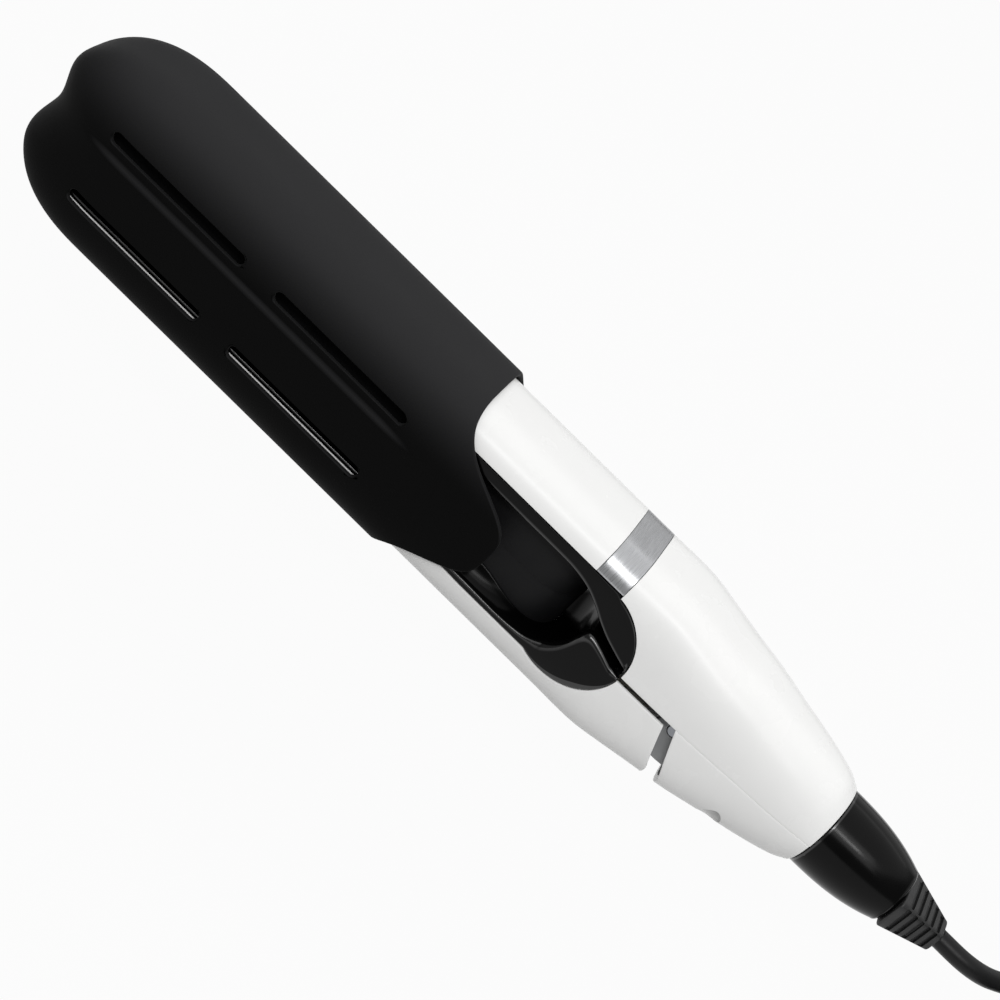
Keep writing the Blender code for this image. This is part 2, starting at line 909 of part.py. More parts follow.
def make_plate_set(name, side):
    # side is 1 for the upper arm and -1 for the lower one
    flange_start = upper_rim + upper_floor + gap if side > 0 else lower_tip_edge

    def level(height):
        return axis_z + side * height

    def span(low, high):
        return sorted((level(low), level(high)))

    frame_low, frame_high = span(frame_relief, flange_start + frame_flange_height)
    frame = slab(
        f"{name}_plate_frame",
        stadium(arm_tip + frame_front, arm_tip + frame_rear, frame_width / 2),
        "XY",
        frame_low,
        frame_high,
        black_matt,
    )
    flange_low, flange_high = span(flange_start, flange_start + frame_flange_height)
    flange = box(
        f"{name}_frame_flange",
        (arm_tip + flange_front, -frame_flange_width / 2, flange_low),
        (arm_tip + flange_rear, frame_flange_width / 2, flange_high),
    )
    boolean(frame, flange, "UNION")
    plate_x = arm_tip + plate_front
    pocket_low, pocket_high = span(-overrun, pocket_depth)
    pocket = box(
        f"{name}_plate_pocket",
        (plate_x - gap, -plate_width / 2 - gap, pocket_low),
        (plate_x + plate_length + gap, plate_width / 2 + gap, pocket_high),
    )
    boolean(frame, pocket)
    cavity_x = plate_x + plate_length + frame_bridge
    cavity_low, cavity_high = span(frame_cavity_floor, body_height)
    cavity = box(
        f"{name}_frame_cavity",
        (cavity_x, -frame_cavity_width / 2, cavity_low),
        (cavity_x + frame_cavity_length, frame_cavity_width / 2, cavity_high),
    )
    boolean(frame, cavity)
    slot_low, slot_high = span(frame_cavity_floor, frame_cavity_floor + lead_slot_height)
    lead_slot = box(
        f"{name}_lead_slot",
        (cavity_x - frame_bridge - gap * 2, -lead_slot_width / 2, slot_low),
        (cavity_x + gap, lead_slot_width / 2, slot_high),
    )
    boolean(frame, lead_slot)

    plate_low, plate_high = span(plate_relief, plate_relief + plate_thickness)
    box(
        f"{name}_plate",
        (plate_x, -plate_width / 2, plate_low),
        (plate_x + plate_length, plate_width / 2, plate_high),
        ceramic_plate,
    )
    heater_height = plate_relief + plate_thickness + gap
    heater_x = plate_x + (plate_length - heater_length) / 2
    heater_low, heater_high = span(heater_height, heater_height + heater_thickness)
    box(
        f"{name}_heater",
        (heater_x, -heater_width / 2, heater_low),
        (heater_x + heater_length, heater_width / 2, heater_high),
        heater_foil,
    )
    leaf_start = heater_height + heater_thickness + gap
    leaf_rise = pocket_depth - gap - leaf_thickness - leaf_start
    leaf_x = plate_x + (plate_length - leaf_length) / 2
    outline = []
    for offset, order in ((0, 1), (leaf_thickness, -1)):
        arc = [
            (
                leaf_x + leaf_length * step / arc_steps,
                level(leaf_start + offset + leaf_rise * math.sin(math.pi * step / arc_steps)),
            )
            for step in range(arc_steps + 1)
        ]
        outline += arc[::order]
    slab(
        f"{name}_heater_leaf",
        outline,
        "XZ",
        -leaf_width / 2,
        leaf_width / 2,
        spring_steel,
    )
    rod(
        f"{name}_thermal_fuse",
        (
            cavity_x + fuse_from_bridge,
            side * fuse_offset,
            level(frame_cavity_floor + gap + fuse_radius),
        ),
        (1, 0, 0),
        fuse_radius,
        fuse_length,
        satin_metal,
        12,
    )
    return heater_x + heater_length + gap, level(heater_height + heater_thickness / 2), cavity_x


def make_heater_leads(name, side, start_x, start_z, cavity_x):
    for letter, across in (("a", -1), ("b", 1)):
        y = across * heater_lead_spread
        cavity_rear = cavity_x + frame_cavity_length
        over_frame = axis_z + side * (upper_edge + gap + heater_lead_radius * 2)
        slot_middle = axis_z + side * (frame_cavity_floor + lead_slot_height / 2)
        end_z = axis_z + board_height + board_thickness + heater_lead_radius + gap
        end_x = tail_start + board_front + heater_lead_radius * 4
        if side < 0:
            end_z = axis_z - pivot_drop - tongue_height * 2
            end_x = pivot_x - knuckle_radius * 2
        points = (
            (start_x, y, start_z),
            (start_x + 4 * heater_lead_radius, y, start_z),
            (cavity_x - frame_bridge / 2, y, slot_middle),
            (cavity_x + frame_bridge, y, slot_middle),
            (cavity_x + frame_cavity_length * 0.45, y, slot_middle),
            (cavity_x + frame_cavity_length * 0.75, y, (slot_middle + over_frame) / 2),
            (cavity_rear - heater_lead_radius * 4, y, over_frame),
            (cavity_rear + frame_bridge, y, over_frame),
            (disc_x + hinge_disc_radius * 0.5, y, (over_frame * 2 + end_z) / 3),
            (end_x - heater_lead_radius * 5, y, end_z),
            (end_x, y, end_z),
        )
        tube(f"{name}_lead_{letter}", smooth_curve(points, 26), heater_lead_radius, lead_sleeve)


def make_tail():
    upper = envelope("tail_upper_shell", tail_start, tail_end, 0, white_gloss)
    hollow = envelope("tail_upper_hollow", tail_start - overrun, tail_end + overrun, shell_wall)
    under = slab(
        "tail_upper_under",
        [
            (tail_start - overrun, below),
            (tail_start - overrun, axis_z + hinge_disc_radius),
            *disc_curve(hinge_disc_radius, disc_x, disc_end, 1)[:-1],
            (disc_end, axis_z + seam_gap / 2),
            (tail_end + overrun, axis_z + seam_gap / 2),
            (tail_end + overrun, below),
        ],
        "XZ",
        -side_reach,
        side_reach,
    )
    boolean(boolean(upper, under), hollow)
    half_height = section_at(tail_screw_x, shell_wall / 2)[1]
    boss_bottom = axis_z - recess_floor + screw_floor + gap
    for side, letter in ((-1, "a"), (1, "b")):
        y = side * tail_screw_offset
        boss = rod(
            f"upper_screw_boss_{letter}",
            (tail_screw_x, y, boss_bottom),
            (0, 0, 1),
            upper_boss_radius,
            axis_z + half_height - boss_bottom,
        )
        inside = envelope(f"upper_boss_limit_{letter}", tail_start, tail_end, shell_wall / 2)
        pilot = rod(
            f"upper_screw_pilot_{letter}",
            (tail_screw_x, y, boss_bottom - overrun),
            (0, 0, 1),
            screw_radius + gap,
            tail_screw_length + overrun,
        )
        boolean(boss, inside, "INTERSECT")
        boolean(boolean(upper, boss, "UNION"), pilot)
    button_x = tail_start + button_from_tail
    for name, x, radius in (
        ("button_hole", button_x, button_radius + gap),
        ("lens_hole", button_x + lens_spacing, lens_radius + gap),
    ):
        hole = rod(name, (x, 0, axis_z + button_height), (0, 1, 0), radius, side_reach)
        boolean(upper, hole)

    lower = envelope("tail_lower_shell", pivot_x - overrun, tail_end, 0, white_gloss)
    lower_hollow = envelope(
        "tail_lower_hollow", pivot_x - 2 * overrun, tail_end + overrun, shell_wall
    )
    keep = slab(
        "tail_lower_side",
        [
            (pivot_x + tail_front_top, axis_z - seam_gap / 2),
            (pivot_x + tail_front_bottom, axis_z - slant_depth),
            (pivot_x + tail_front_bottom, below),
            (tail_end + overrun, below),
            (tail_end + overrun, axis_z - seam_gap / 2),
        ],
        "XZ",
        -side_reach,
        side_reach,
    )
    boolean(boolean(lower, keep, "INTERSECT"), lower_hollow)
    sleeve_top = axis_z - recess_floor + screw_floor
    for side, letter in ((-1, "a"), (1, "b")):
        y = side * tail_screw_offset
        sleeve = rod(
            f"tail_screw_sleeve_{letter}",
            (tail_screw_x, y, axis_z - half_height),
            (0, 0, 1),
            tail_boss_radius,
            sleeve_top - axis_z + half_height,
        )
        inside = envelope(f"sleeve_limit_{letter}", tail_start, tail_end, shell_wall / 2)
        recess = rod(
            f"tail_screw_recess_{letter}",
            (tail_screw_x, y, below),
            (0, 0, 1),
            recess_radius,
            axis_z - recess_floor - below,
        )
        through = rod(
            f"tail_screw_through_{letter}",
            (tail_screw_x, y, below),
            (0, 0, 1),
            screw_radius + gap,
            body_height,
        )
        boolean(sleeve, inside, "INTERSECT")
        boolean(boolean(boolean(lower, sleeve, "UNION"), recess), through)
    anchor_bottom = axis_z - section_at(anchor_x, shell_wall / 2)[1]
    boss_top = axis_z + inner_lead_radius
    saddle = box(
        "cord_saddle",
        (anchor_x - clamp_length / 2, -saddle_width / 2, anchor_bottom),
        (
            anchor_x + clamp_length / 2,
            saddle_width / 2,
            axis_z - inner_lead_radius - gap,
        ),
    )
    boolean(lower, saddle, "UNION")
    for side in (-1, 1):
        y = side * clamp_screw_offset
        width, height, power = section_at(anchor_x, shell_wall / 2)
        floor_z = axis_z - height * (1 - (abs(y) / width) ** power) ** (1 / power)
        boss = rod(
            f"clamp_boss_{side}",
            (anchor_x, y, floor_z),
            (0, 0, 1),
            clamp_boss_radius,
            boss_top - floor_z,
        )
        pilot = rod(
            f"clamp_pilot_{side}",
            (anchor_x, y, boss_top - clamp_screw_length),
            (0, 0, 1),
            screw_radius + gap,
            clamp_screw_length + overrun,
        )
        boolean(boolean(lower, boss, "UNION"), pilot)


def screw(name, place, axis, length):
    profile = (
        (0, 0),
        (0, screw_head_radius),
        (screw_head_height, screw_head_radius),
        (screw_head_height, screw_radius),
        (length, screw_radius),
        (length, 0),
    )
    turned(name, profile, place, axis, spring_steel, 12)


def make_anchorage():
    clamp_z = axis_z + inner_lead_radius + gap
    clamp = box(
        "cord_clamp",
        (anchor_x - clamp_length / 2, -clamp_width / 2, clamp_z),
        (anchor_x + clamp_length / 2, clamp_width / 2, clamp_z + clamp_thickness),
        grey_plastic,
    )
    for side, letter in ((-1, "a"), (1, "b")):
        y = side * clamp_screw_offset
        hole = rod(
            f"clamp_hole_{letter}",
            (anchor_x, y, clamp_z - overrun),
            (0, 0, 1),
            screw_radius + gap,
            3 * overrun,
        )
        boolean(clamp, hole)
        screw(
            f"clamp_screw_{letter}",
            (anchor_x, y, clamp_z + clamp_thickness + gap + screw_head_height),
            (0, 0, -1),
            clamp_screw_length,
        )
    for side, letter in ((-1, "a"), (1, "b")):
        screw(
            f"tail_screw_{letter}",
            (
                tail_screw_x,
                side * tail_screw_offset,
                axis_z - recess_floor - gap - screw_head_height,
            ),
            (0, 0, 1),
            tail_screw_length,
        )
    lead_end = cap_end - cap_wall - gap - relief_flange_thickness - gap
    rod(
        "mains_lead_inner",
        (lead_end - inner_lead_length, 0, axis_z),
        (1, 0, 0),
        inner_lead_radius,
        inner_lead_length,
        soft_black,
        12,
    )


def make_electronics():
    board_x = tail_start + board_front
    low = axis_z + board_height
    top = low + board_thickness
    button_x = tail_start + button_from_tail
    flange_radius = button_radius + button_flange
    flange_y = side_at(button_x + flange_radius, button_height + flange_radius, shell_wall)
    inside = flange_y - gap - button_flange
    face_y = inside - button_travel - gap
    box(
        "circuit_board",
        (board_x, -face_y, low),
        (board_x + board_length, face_y, top),
        board_green,
    )
    box(
        "power_switch",
        (button_x - switch_size / 2, face_y - switch_size, top + gap),
        (button_x + switch_size / 2, face_y, top + gap + switch_height),
        black_matt,
    )
    length = side_at(button_x, button_height, 0) + button_lip - inside
    turned(
        "power_button",
        (
            (0, 0),
            (0, flange_radius),
            (button_flange - gap, flange_radius),
            (button_flange - gap, button_radius),
            (length, button_radius),
            (length, 0),
        ),
        (button_x, inside, axis_z + button_height),
        (0, 1, 0),
        black_gloss,
    )
    lens_x = button_x + lens_spacing
    lens_in = side_at(lens_x, button_height, shell_wall * 2)
    rod(
        "indicator_lens",
        (lens_x, lens_in, axis_z + button_height),
        (0, 1, 0),
        lens_radius,
        side_at(lens_x, button_height, 0) - lens_in,
        lens_clear,
        12,
    )
    rod(
        "board_capacitor",
        (
            tail_start + capacitor_from_tail - capacitor_length / 2,
            -face_y / 2,
            top + gap + capacitor_radius,
        ),
        (1, 0, 0),
        capacitor_radius,
        capacitor_length,
        black_matt,
        16,
    )


def make_cap():
    start_radius = tail_end_diameter / 2 - cap_step
    end_radius = cap_end_diameter / 2
    length = cap_end - cap_start
    outer = []
    inner = []
    for step in range(arc_steps + 1):
        share = step / arc_steps
        radius = start_radius + (end_radius - start_radius) * share**cap_curve_power
        outer.append((length * share, radius))
    outer[-1] = (length, end_radius - cap_edge_radius)
    outer.insert(-1, (length - cap_edge_radius / 3, end_radius - cap_edge_radius / 3))
    outer[-3] = (length - cap_edge_radius, end_radius)
    neck_radius = tail_end_diameter / 2 - shell_wall - gap
    for along, radius in outer[: arc_steps - 1]:
        inner.append((along, min(radius, neck_radius) - cap_neck_wall - cap_step))
    inner.append((length - cap_wall, inner[-1][1]))
    profile = (
        [(-cap_neck_length, neck_radius), (0, neck_radius)]
        + outer
        + [(length, relief_neck_radius + gap), (length - cap_wall, relief_neck_radius + gap)]
        + inner[::-1]
        + [(-cap_neck_length, inner[0][1])]
    )
    cap = turned("tail_cap", profile, (cap_start, 0, axis_z), (1, 0, 0), black_gloss, 32)
    return cap


def relief_ring(x, half_width, half_height, power, slot):
    ring = []
    for step in range(24):
        angle = 2 * math.pi * (step + 0.5) / 24
        cosine, sine = math.cos(angle), math.sin(angle)
        y = math.copysign(abs(cosine) ** (2 / power), cosine) * half_width
        z = math.copysign(abs(sine) ** (2 / power), sine) * half_height
        if slot and min(abs(cosine), abs(sine)) < math.sin(math.radians(35)):
            if abs(cosine) > abs(sine):
                y -= math.copysign(relief_slot_depth, y)
            else:
                z -= math.copysign(relief_slot_depth, z)
        ring.append((x, y, axis_z + z))
    return ring


def make_strain_relief():
    flange_x = cap_end - cap_wall - gap - relief_flange_thickness
    body_x = cap_end + gap
    rings = []
    for x, radius in (
        (flange_x, relief_flange_radius),
        (flange_x + relief_flange_thickness, relief_flange_radius),
        (flange_x + relief_flange_thickness + gap / 3, relief_neck_radius),
        (body_x - gap / 3, relief_neck_radius),
    ):
        rings.append(relief_ring(x, radius, radius, 2, False))

    def body_ring(x, sunk, less=0):
        share = (x - body_x) / (relief_end - body_x)
        width = relief_start_width + (relief_end_width - relief_start_width) * share
        height = relief_start_height + (relief_end_height - relief_start_height) * share
        return relief_ring(x, width / 2 - less, height / 2 - less, relief_squareness, sunk)

    rings.append(body_ring(body_x, False))
    for slot in range(relief_slots):
        start = body_x + relief_slot_start + slot * relief_slot_pitch
        for x, sunk in (
            (start, False),
            (start + gap / 3, True),
            (start + relief_slot_width, True),
            (start + relief_slot_width + gap / 3, False),
        ):
            rings.append(body_ring(x, sunk))
    rings.append(body_ring(relief_end - cap_edge_radius, False))
    rings.append(body_ring(relief_end, False, cap_edge_radius / 2))
    loft("strain_relief", rings, soft_black)


def make_guard():
    reach = guard_tip + guard_tongue_end
    skin = guard_fit + guard_wall
    guard = envelope("heat_guard", guard_tip, reach, -skin, silicone, guard_notch_depth)
    hollow = envelope(
        "guard_hollow", guard_tip, reach + overrun, -guard_fit, None, guard_notch_depth
    )
    boolean(guard, hollow)
    rear = [(reach + overrun, above), (reach + overrun, below)]
    steps = 24
    for step in range(steps + 1):
        z = body_height * (step / steps - 0.5) * 1.3
        bell = 1 / (1 + ((z + guard_tongue_drop) / guard_tongue_half_height) ** 4)
        rear.append((reach - guard_scoop_depth * (1 - bell), axis_z + z))
    boolean(guard, slab("guard_rear", rear, "XZ", -side_reach, side_reach))
    foot = box(
        "guard_foot_cut",
        (guard_tip - overrun, -side_reach, below),
        (reach + overrun, side_reach, 0),
    )
    boolean(guard, foot)
    for row, height in (("upper", upper_slot_rise), ("lower", -lower_slot_drop)):
        for place, start in (("front", front_slot_start), ("rear", rear_slot_start)):
            outline = [
                (x, axis_z + height + z)
                for x, z in stadium(guard_tip + start, guard_tip + start + slot_length, slot_height / 2)
            ]
            boolean(
                guard,
                slab(f"guard_slot_{row}_{place}", outline, "XZ", -side_reach, side_reach),
            )


def hank_path():
    # One unbroken cord, wound from the top layer's outer turn down to the floor.
    # Each layer takes one loop in or out, and each change of layer half a loop.
    bottom = tie_thickness + gap + cord_diameter / 2
    run_share = run_steps / loop_points
    arc_share = 0.5 - run_share

    def base(share, offset):
        share %= 1
        radius = hank_fold_radius + offset
        for side in (1, -1):
            if share < run_share:
                along = share / run_share
                dip = hank_waist_dip * math.sin(math.pi * along) ** 2
                x = hank_run * (along if side > 0 else 1 - along)
                return x, side * (radius - dip)
            share -= run_share
            if share < arc_share:
                angle = math.pi * share / arc_share
                centre = hank_run if side > 0 else 0
                across = side * radius * math.sin(angle)
                return centre + across, side * radius * math.cos(angle)
            share -= arc_share
        return 0.0, radius

    count = (hank_layers * 3 // 2 - 1) * loop_points + run_steps
    points = []
    for step in range(count + 1):
        turn = step / loop_points
        cycle, within = divmod(turn, 1.5)
        layer = hank_layers - 1 - cycle
        wound = min(within, 1)
        offset = hank_side_step * (wound if cycle % 2 else 1 - wound)
        climb = max(within - 1, 0) / 0.5
        z = bottom + hank_layer_step * (layer - climb * climb * (3 - 2 * climb))
        x, y = base(turn - 0.000001 if step == count else turn, offset)
        points.append(Vector((hank_start + cord_diameter + x, y, z)))
    first = points[0]
    points.insert(0, Vector((hank_start, first.y, first.z)))
    last = points[-1]
    for step in range(end_points + 1):
        share = step / end_points
        ease = share * share * (3 - 2 * share)
        points.append(
            Vector(
                (
                    last.x + end_straight + end_bend_length * share,
                    last.y - (last.y - plug_y) * ease,
                    last.z,
                )
            )
        )
    points.append(points[-1] + Vector((cord_diameter, 0, 0)))
    return points


def least_gap(points, diameter):
    # The least distance between the surfaces of stretches that aren't neighbours
    fine = []
    for first, second in zip(points, points[1:]):
        for step in range(4):
            fine.append(first.lerp(second, step / 4))
    lengths = [0.0]
    for first, second in zip(fine, fine[1:]):
        lengths.append(lengths[-1] + (second - first).length)
    least = 1.0
    for i, first in enumerate(fine):
        for j in range(i + 1, len(fine)):
            if lengths[j] - lengths[i] > 4 * diameter:
                least = min(least, (fine[j] - first).length - diameter)
    return least


def lead_path(meet):
    # Straight out of the relief, an S bend of two arcs to the side, then straight to the hank
    side = meet.y
    across = lead_bend_radius * (1 - math.cos(lead_bend_angle))
    along = lead_bend_radius * math.sin(lead_bend_angle)
    slope = math.tan(lead_bend_angle)
    bend_start = relief_end + gap + lead_straight
    bend_end = bend_start + 2 * along + (side - 2 * across) / slope
    points = [Vector((relief_end + gap, 0, axis_z)), Vector((bend_start, 0, axis_z))]
    for start_x, start_y, sign in ((bend_start, 0, 1), (bend_end, side, -1)):
        for step in range(1, bend_points + 1):
            angle = lead_bend_angle * step / bend_points
            x = start_x + sign * lead_bend_radius * math.sin(angle)
            y = start_y + sign * lead_bend_radius * (1 - math.cos(angle))
            points.append(Vector((x, y, 0)))
    points[2 + bend_points :] = points[: 1 + bend_points : -1]
    points.append(Vector((bend_end, side, 0)))
    points.append(meet)
    for point in points[2:]:
        share = (point.x - bend_start) / (meet.x - bend_start)
        point.z = axis_z + (meet.z - axis_z) * share * share * (3 - 2 * share)
    return smooth_curve(points, lead_points)


def make_cord():
    hank = hank_path()
    lead = lead_path(hank[0] - Vector((gap, 0, 0)))
    tube("cord_lead", lead, cord_diameter / 2, soft_black)
    tube("cord_hank", hank, cord_diameter / 2, soft_black, 1)
    lead_length = sum((b - a).length for a, b in zip(lead, lead[1:]))
    hank_length = sum((b - a).length for a, b in zip(hank, hank[1:]))
    apart = min((p - q).length for p in lead[:-3] for q in hank[3:]) - cord_diameter
    print("cord length", round(lead_length + hank_length, 4))
    print("least gap of the hank to itself", round(least_gap(hank, cord_diameter), 5))
    print("least gap of the lead to the hank", round(apart, 5))

    waist = hank_fold_radius + hank_side_step - hank_waist_dip + cord_diameter / 2 + gap
    top = tie_thickness + gap + hank_layer_step * (hank_layers - 1) + cord_diameter + gap
    tie_x = hank_start + cord_diameter + hank_run / 2

    def rounded(half, low, high, radius):
        points = []
        for y_side, z_end, start in ((1, high, 0), (-1, high, 90), (-1, low, 180), (1, low, 270)):
            for step in range(5):
                angle = math.radians(start + 90 * step / 4)
                corner_z = z_end - radius if z_end == high else z_end + radius
                points.append(
                    (
                        y_side * (half - radius) + radius * math.cos(angle),
                        corner_z + radius * math.sin(angle),
                    )
                )
        return points

    slab(
        "cord_tie",
        rounded(waist + tie_thickness, 0, top + tie_thickness, tie_corner / 4 + tie_thickness),
        "YZ",
        tie_x - tie_width / 2,
        tie_x + tie_width / 2,
        soft_black,
        rounded(waist, tie_thickness, top, tie_corner / 4),
    )

    end = hank[-1]
    plug_x = end.x + gap
    print("cord runs from", tuple(lead[0]), "to", tuple(end))
    rings = []
    for share, widening, thickening in plug_shares:
        half_width = (plug_tail_width + (plug_face_width - plug_tail_width) * widening) / 2
        half_height = (plug_tail_width + (plug_face_height - plug_tail_width) * thickening) / 2
        ring = ring_of(half_width, half_height, 2 + (plug_squareness - 2) * thickening, 24)
        centre_z = plug_face_height / 2
        rings.append([(plug_x + plug_length * share, end.y + y, centre_z + z) for y, z in ring])
    plug = loft("plug_body", rings, soft_black)
    face_x = plug_x + plug_length
    blade_z = plug_face_height / 2
    for letter, side in (("a", -1), ("b", 1)):
        y = end.y + side * blade_spacing / 2
        blade = box(
            f"plug_blade_{letter}",
            (face_x - blade_root, y - blade_thickness / 2, blade_z - blade_height / 2),
            (face_x + blade_length, y + blade_thickness / 2, blade_z + blade_height / 2),
            satin_metal,
        )
        hole = rod(
            f"blade_hole_{letter}",
            (face_x + blade_length - blade_hole_setback, y - blade_height, blade_z),
            (0, 1, 0),
            blade_hole_radius,
            blade_height * 2,
            None,
            12,
        )
        boolean(blade, hole)
        socket = box(
            f"blade_socket_{letter}",
            (
                face_x - blade_root - gap,
                y - blade_thickness / 2 - gap,
                blade_z - blade_height / 2 - gap,
            ),
            (
                face_x + blade_length,
                y + blade_thickness / 2 + gap,
                blade_z + blade_height / 2 + gap,
            ),
        )
        boolean(plug, socket)


make_upper_arm()
make_upper_inner_shell()
make_lower_arm()
make_hinge()
for arm, arm_side in (("upper", 1), ("lower", -1)):
    lead_x, lead_z, hollow_x = make_plate_set(arm, arm_side)
    make_heater_leads(arm, arm_side, lead_x, lead_z, hollow_x)
make_tail()
make_anchorage()
make_electronics()
make_cap()
make_strain_relief()
make_guard()
make_cord()
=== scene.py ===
# Closed hair straightener with a silicone heat guard over its arms, above a white table.
# Metres, +Z up. The tip points to -X and the cord leaves towards +X.
from math import acos, asin, copysign, cos, floor, hypot, pi, radians, sin, sqrt, tan

import bpy
import numpy as np
from mathutils import Matrix, Vector


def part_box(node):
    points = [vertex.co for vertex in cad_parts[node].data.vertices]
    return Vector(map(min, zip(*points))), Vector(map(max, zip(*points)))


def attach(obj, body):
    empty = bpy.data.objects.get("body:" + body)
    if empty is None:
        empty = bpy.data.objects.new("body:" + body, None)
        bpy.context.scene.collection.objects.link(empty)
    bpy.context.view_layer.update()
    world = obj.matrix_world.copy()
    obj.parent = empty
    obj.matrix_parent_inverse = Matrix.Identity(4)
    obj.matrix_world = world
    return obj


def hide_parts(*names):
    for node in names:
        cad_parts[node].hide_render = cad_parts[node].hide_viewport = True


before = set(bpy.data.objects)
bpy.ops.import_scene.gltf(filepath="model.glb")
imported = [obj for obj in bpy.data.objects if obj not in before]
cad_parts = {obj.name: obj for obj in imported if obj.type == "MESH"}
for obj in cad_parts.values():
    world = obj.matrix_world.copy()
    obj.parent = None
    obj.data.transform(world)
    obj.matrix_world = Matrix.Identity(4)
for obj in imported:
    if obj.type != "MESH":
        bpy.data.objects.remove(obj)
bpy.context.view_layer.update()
mm = 0.001

body = {  # outside of the arms and tail; x runs from the guard's tip, y and z from the axis, in mm
    "axisHeight": 24.1, "guardTip": -144.65, "armTip": 1.8, "tailStart": 178.3, "tailLength": 72.3,
    "halfWidth": 17.0, "halfHeight": 22.6, "endHalf": 11.9, "square": 4.0, "endSquare": 2.0,
    "noseLength": 30.0, "nosePower": 2.5, "discX": 177.0, "disc": 14.5, "wall": 1.8,
    "taper": (
        (0.00, 0.000, 0.000, 0.000), (0.18, 0.000, 0.000, 0.000), (0.30, 0.020, 0.110, 0.150),
        (0.43, 0.080, 0.250, 0.300), (0.56, 0.235, 0.340, 0.500), (0.69, 0.410, 0.490, 0.650),
        (0.83, 0.590, 0.645, 0.800), (0.95, 0.860, 0.830, 0.925), (1.00, 1.000, 1.000, 1.000),
    ),
}
noseEnd = body["armTip"] + body["noseLength"]  # where the tip's rounding meets the straight arms
tailEnd = body["tailStart"] + body["tailLength"]


def place(x, y, z):  # from the guard's tip and the section axis, in mm, to the shared frame
    return Vector(((x + body["guardTip"]) * mm, y * mm, (z + body["axisHeight"]) * mm))


def blend(start, end, share):
    return start + (end - start) * share


def within(share):  # kept between 0 and 1
    return min(max(share, 0), 1)


def ease(share):  # 0 to 1, level at both ends
    share = within(share)
    return share * share * (3 - 2 * share)


def reading(rows, share, column):  # smooth reading of one column of a table
    share = min(max(share, rows[0][0]), rows[-1][0])
    i = max(k for k in range(len(rows) - 1) if rows[k][0] <= share)
    before, start = rows[max(i - 1, 0)], rows[i]
    end, after = rows[i + 1], rows[min(i + 2, len(rows) - 1)]
    span = end[0] - start[0]
    t = (share - start[0]) / span
    slopeIn = (end[column] - before[column]) / (end[0] - before[0]) * span
    slopeOut = (after[column] - start[column]) / (after[0] - start[0]) * span
    return ((2 * t**3 - 3 * t**2 + 1) * start[column] + (t**3 - 2 * t**2 + t) * slopeIn
            + (3 * t**2 - 2 * t**3) * end[column] + (t**3 - t**2) * slopeOut)


def section(x, inset=0.0):  # half width, half height and squareness of the outside at x
    share = (x - body["tailStart"]) / body["tailLength"]
    gone = [reading(body["taper"], share, c) if share > 0 else 0.0 for c in (1, 2, 3)]
    half = blend(body["halfWidth"], body["endHalf"], gone[0]) - inset
    tall = blend(body["halfHeight"], body["endHalf"], gone[1]) - inset
    power = blend(body["square"], body["endSquare"], gone[2])
    nose = (x - body["armTip"] - inset) / (body["noseLength"] - inset)
    if nose < 1:
        fade = (1 - (1 - max(nose, 0)) ** body["nosePower"]) ** (1 / body["nosePower"])
        half, tall = half * fade, tall * fade
    return max(half, 0.02), max(tall, 0.02), power


def rounded(angle, half, tall, power):  # the point of a rounded section at an angle
    c, s = cos(angle), sin(angle)
    return copysign(abs(c) ** (2 / power), c) * half, copysign(abs(s) ** (2 / power), s) * tall


def sideAt(x, z, inset=0.0):  # half width of the outside at a height above the axis
    half, tall, power = section(x, inset)
    return half * max(0.0, 1 - (abs(z) / tall) ** power) ** (1 / power)


def overTop(x, edge, count):  # even points over the outside, from one side's edge to the other's
    half, tall, power = section(x)
    edge = min(edge, tall * 0.99995)
    low = copysign(asin(min((abs(edge) / tall) ** (power / 2), 1)), edge)
    angle = np.linspace(low, pi - low, 361)
    cosine, sine = np.cos(angle), np.sin(angle)
    y = -np.sign(cosine) * np.abs(cosine) ** (2 / power) * half
    z = np.sign(sine) * np.abs(sine) ** (2 / power) * tall
    along = np.concatenate(([0], np.cumsum(np.hypot(np.diff(y), np.diff(z)))))
    wanted = np.linspace(0, along[-1], count)
    return np.interp(wanted, along, y), np.interp(wanted, along, z)


def evenly(points, count):  # a line of points read at equal lengths
    points = np.array(points, float)
    along = np.concatenate(([0], np.cumsum(np.linalg.norm(np.diff(points, axis=0), axis=1))))
    wanted = np.linspace(0, along[-1], count)
    return np.stack([np.interp(wanted, along, points[:, k]) for k in range(points.shape[1])], axis=1)


def curved(points, steps):  # a smooth line through points, with that many steps between two
    points = [np.array(p, float) for p in points]
    padded = [2 * points[0] - points[1], *points, 2 * points[-1] - points[-2]]
    out = []
    for a, b, c, d in zip(padded, padded[1:], padded[2:], padded[3:]):
        for t in np.arange(steps) / steps:
            out.append(0.5 * (2 * b + (c - a) * t + (2 * a - 5 * b + 4 * c - d) * t**2
                              + (3 * b - a - 3 * c + d) * t**3))
    return [*out, points[-1]]


def release():  # nothing stays selected, so an operator acts on the new piece alone
    for other in bpy.context.selected_objects:
        other.select_set(False)


def pick(piece):
    release()
    bpy.context.view_layer.objects.active = piece
    piece.select_set(True)


def added(name):  # names what an operator has just made
    piece = bpy.context.object
    piece.name = piece.data.name = name
    return piece


def settle():  # the new piece's place goes into its mesh
    bpy.ops.object.transform_apply(location=True, rotation=True, scale=True)


def sheet(name, table):  # a grid primitive laid over a table of points, one list per column
    release()
    columns, rows = len(table) - 1, len(table[0]) - 1
    bpy.ops.mesh.primitive_grid_add(x_subdivisions=columns, y_subdivisions=rows, size=2)
    piece = added(name)
    for vertex in piece.data.vertices:
        i = round((vertex.co.x + 1) / 2 * columns)
        j = round((vertex.co.y + 1) / 2 * rows)
        vertex.co = table[i][j]
    return piece


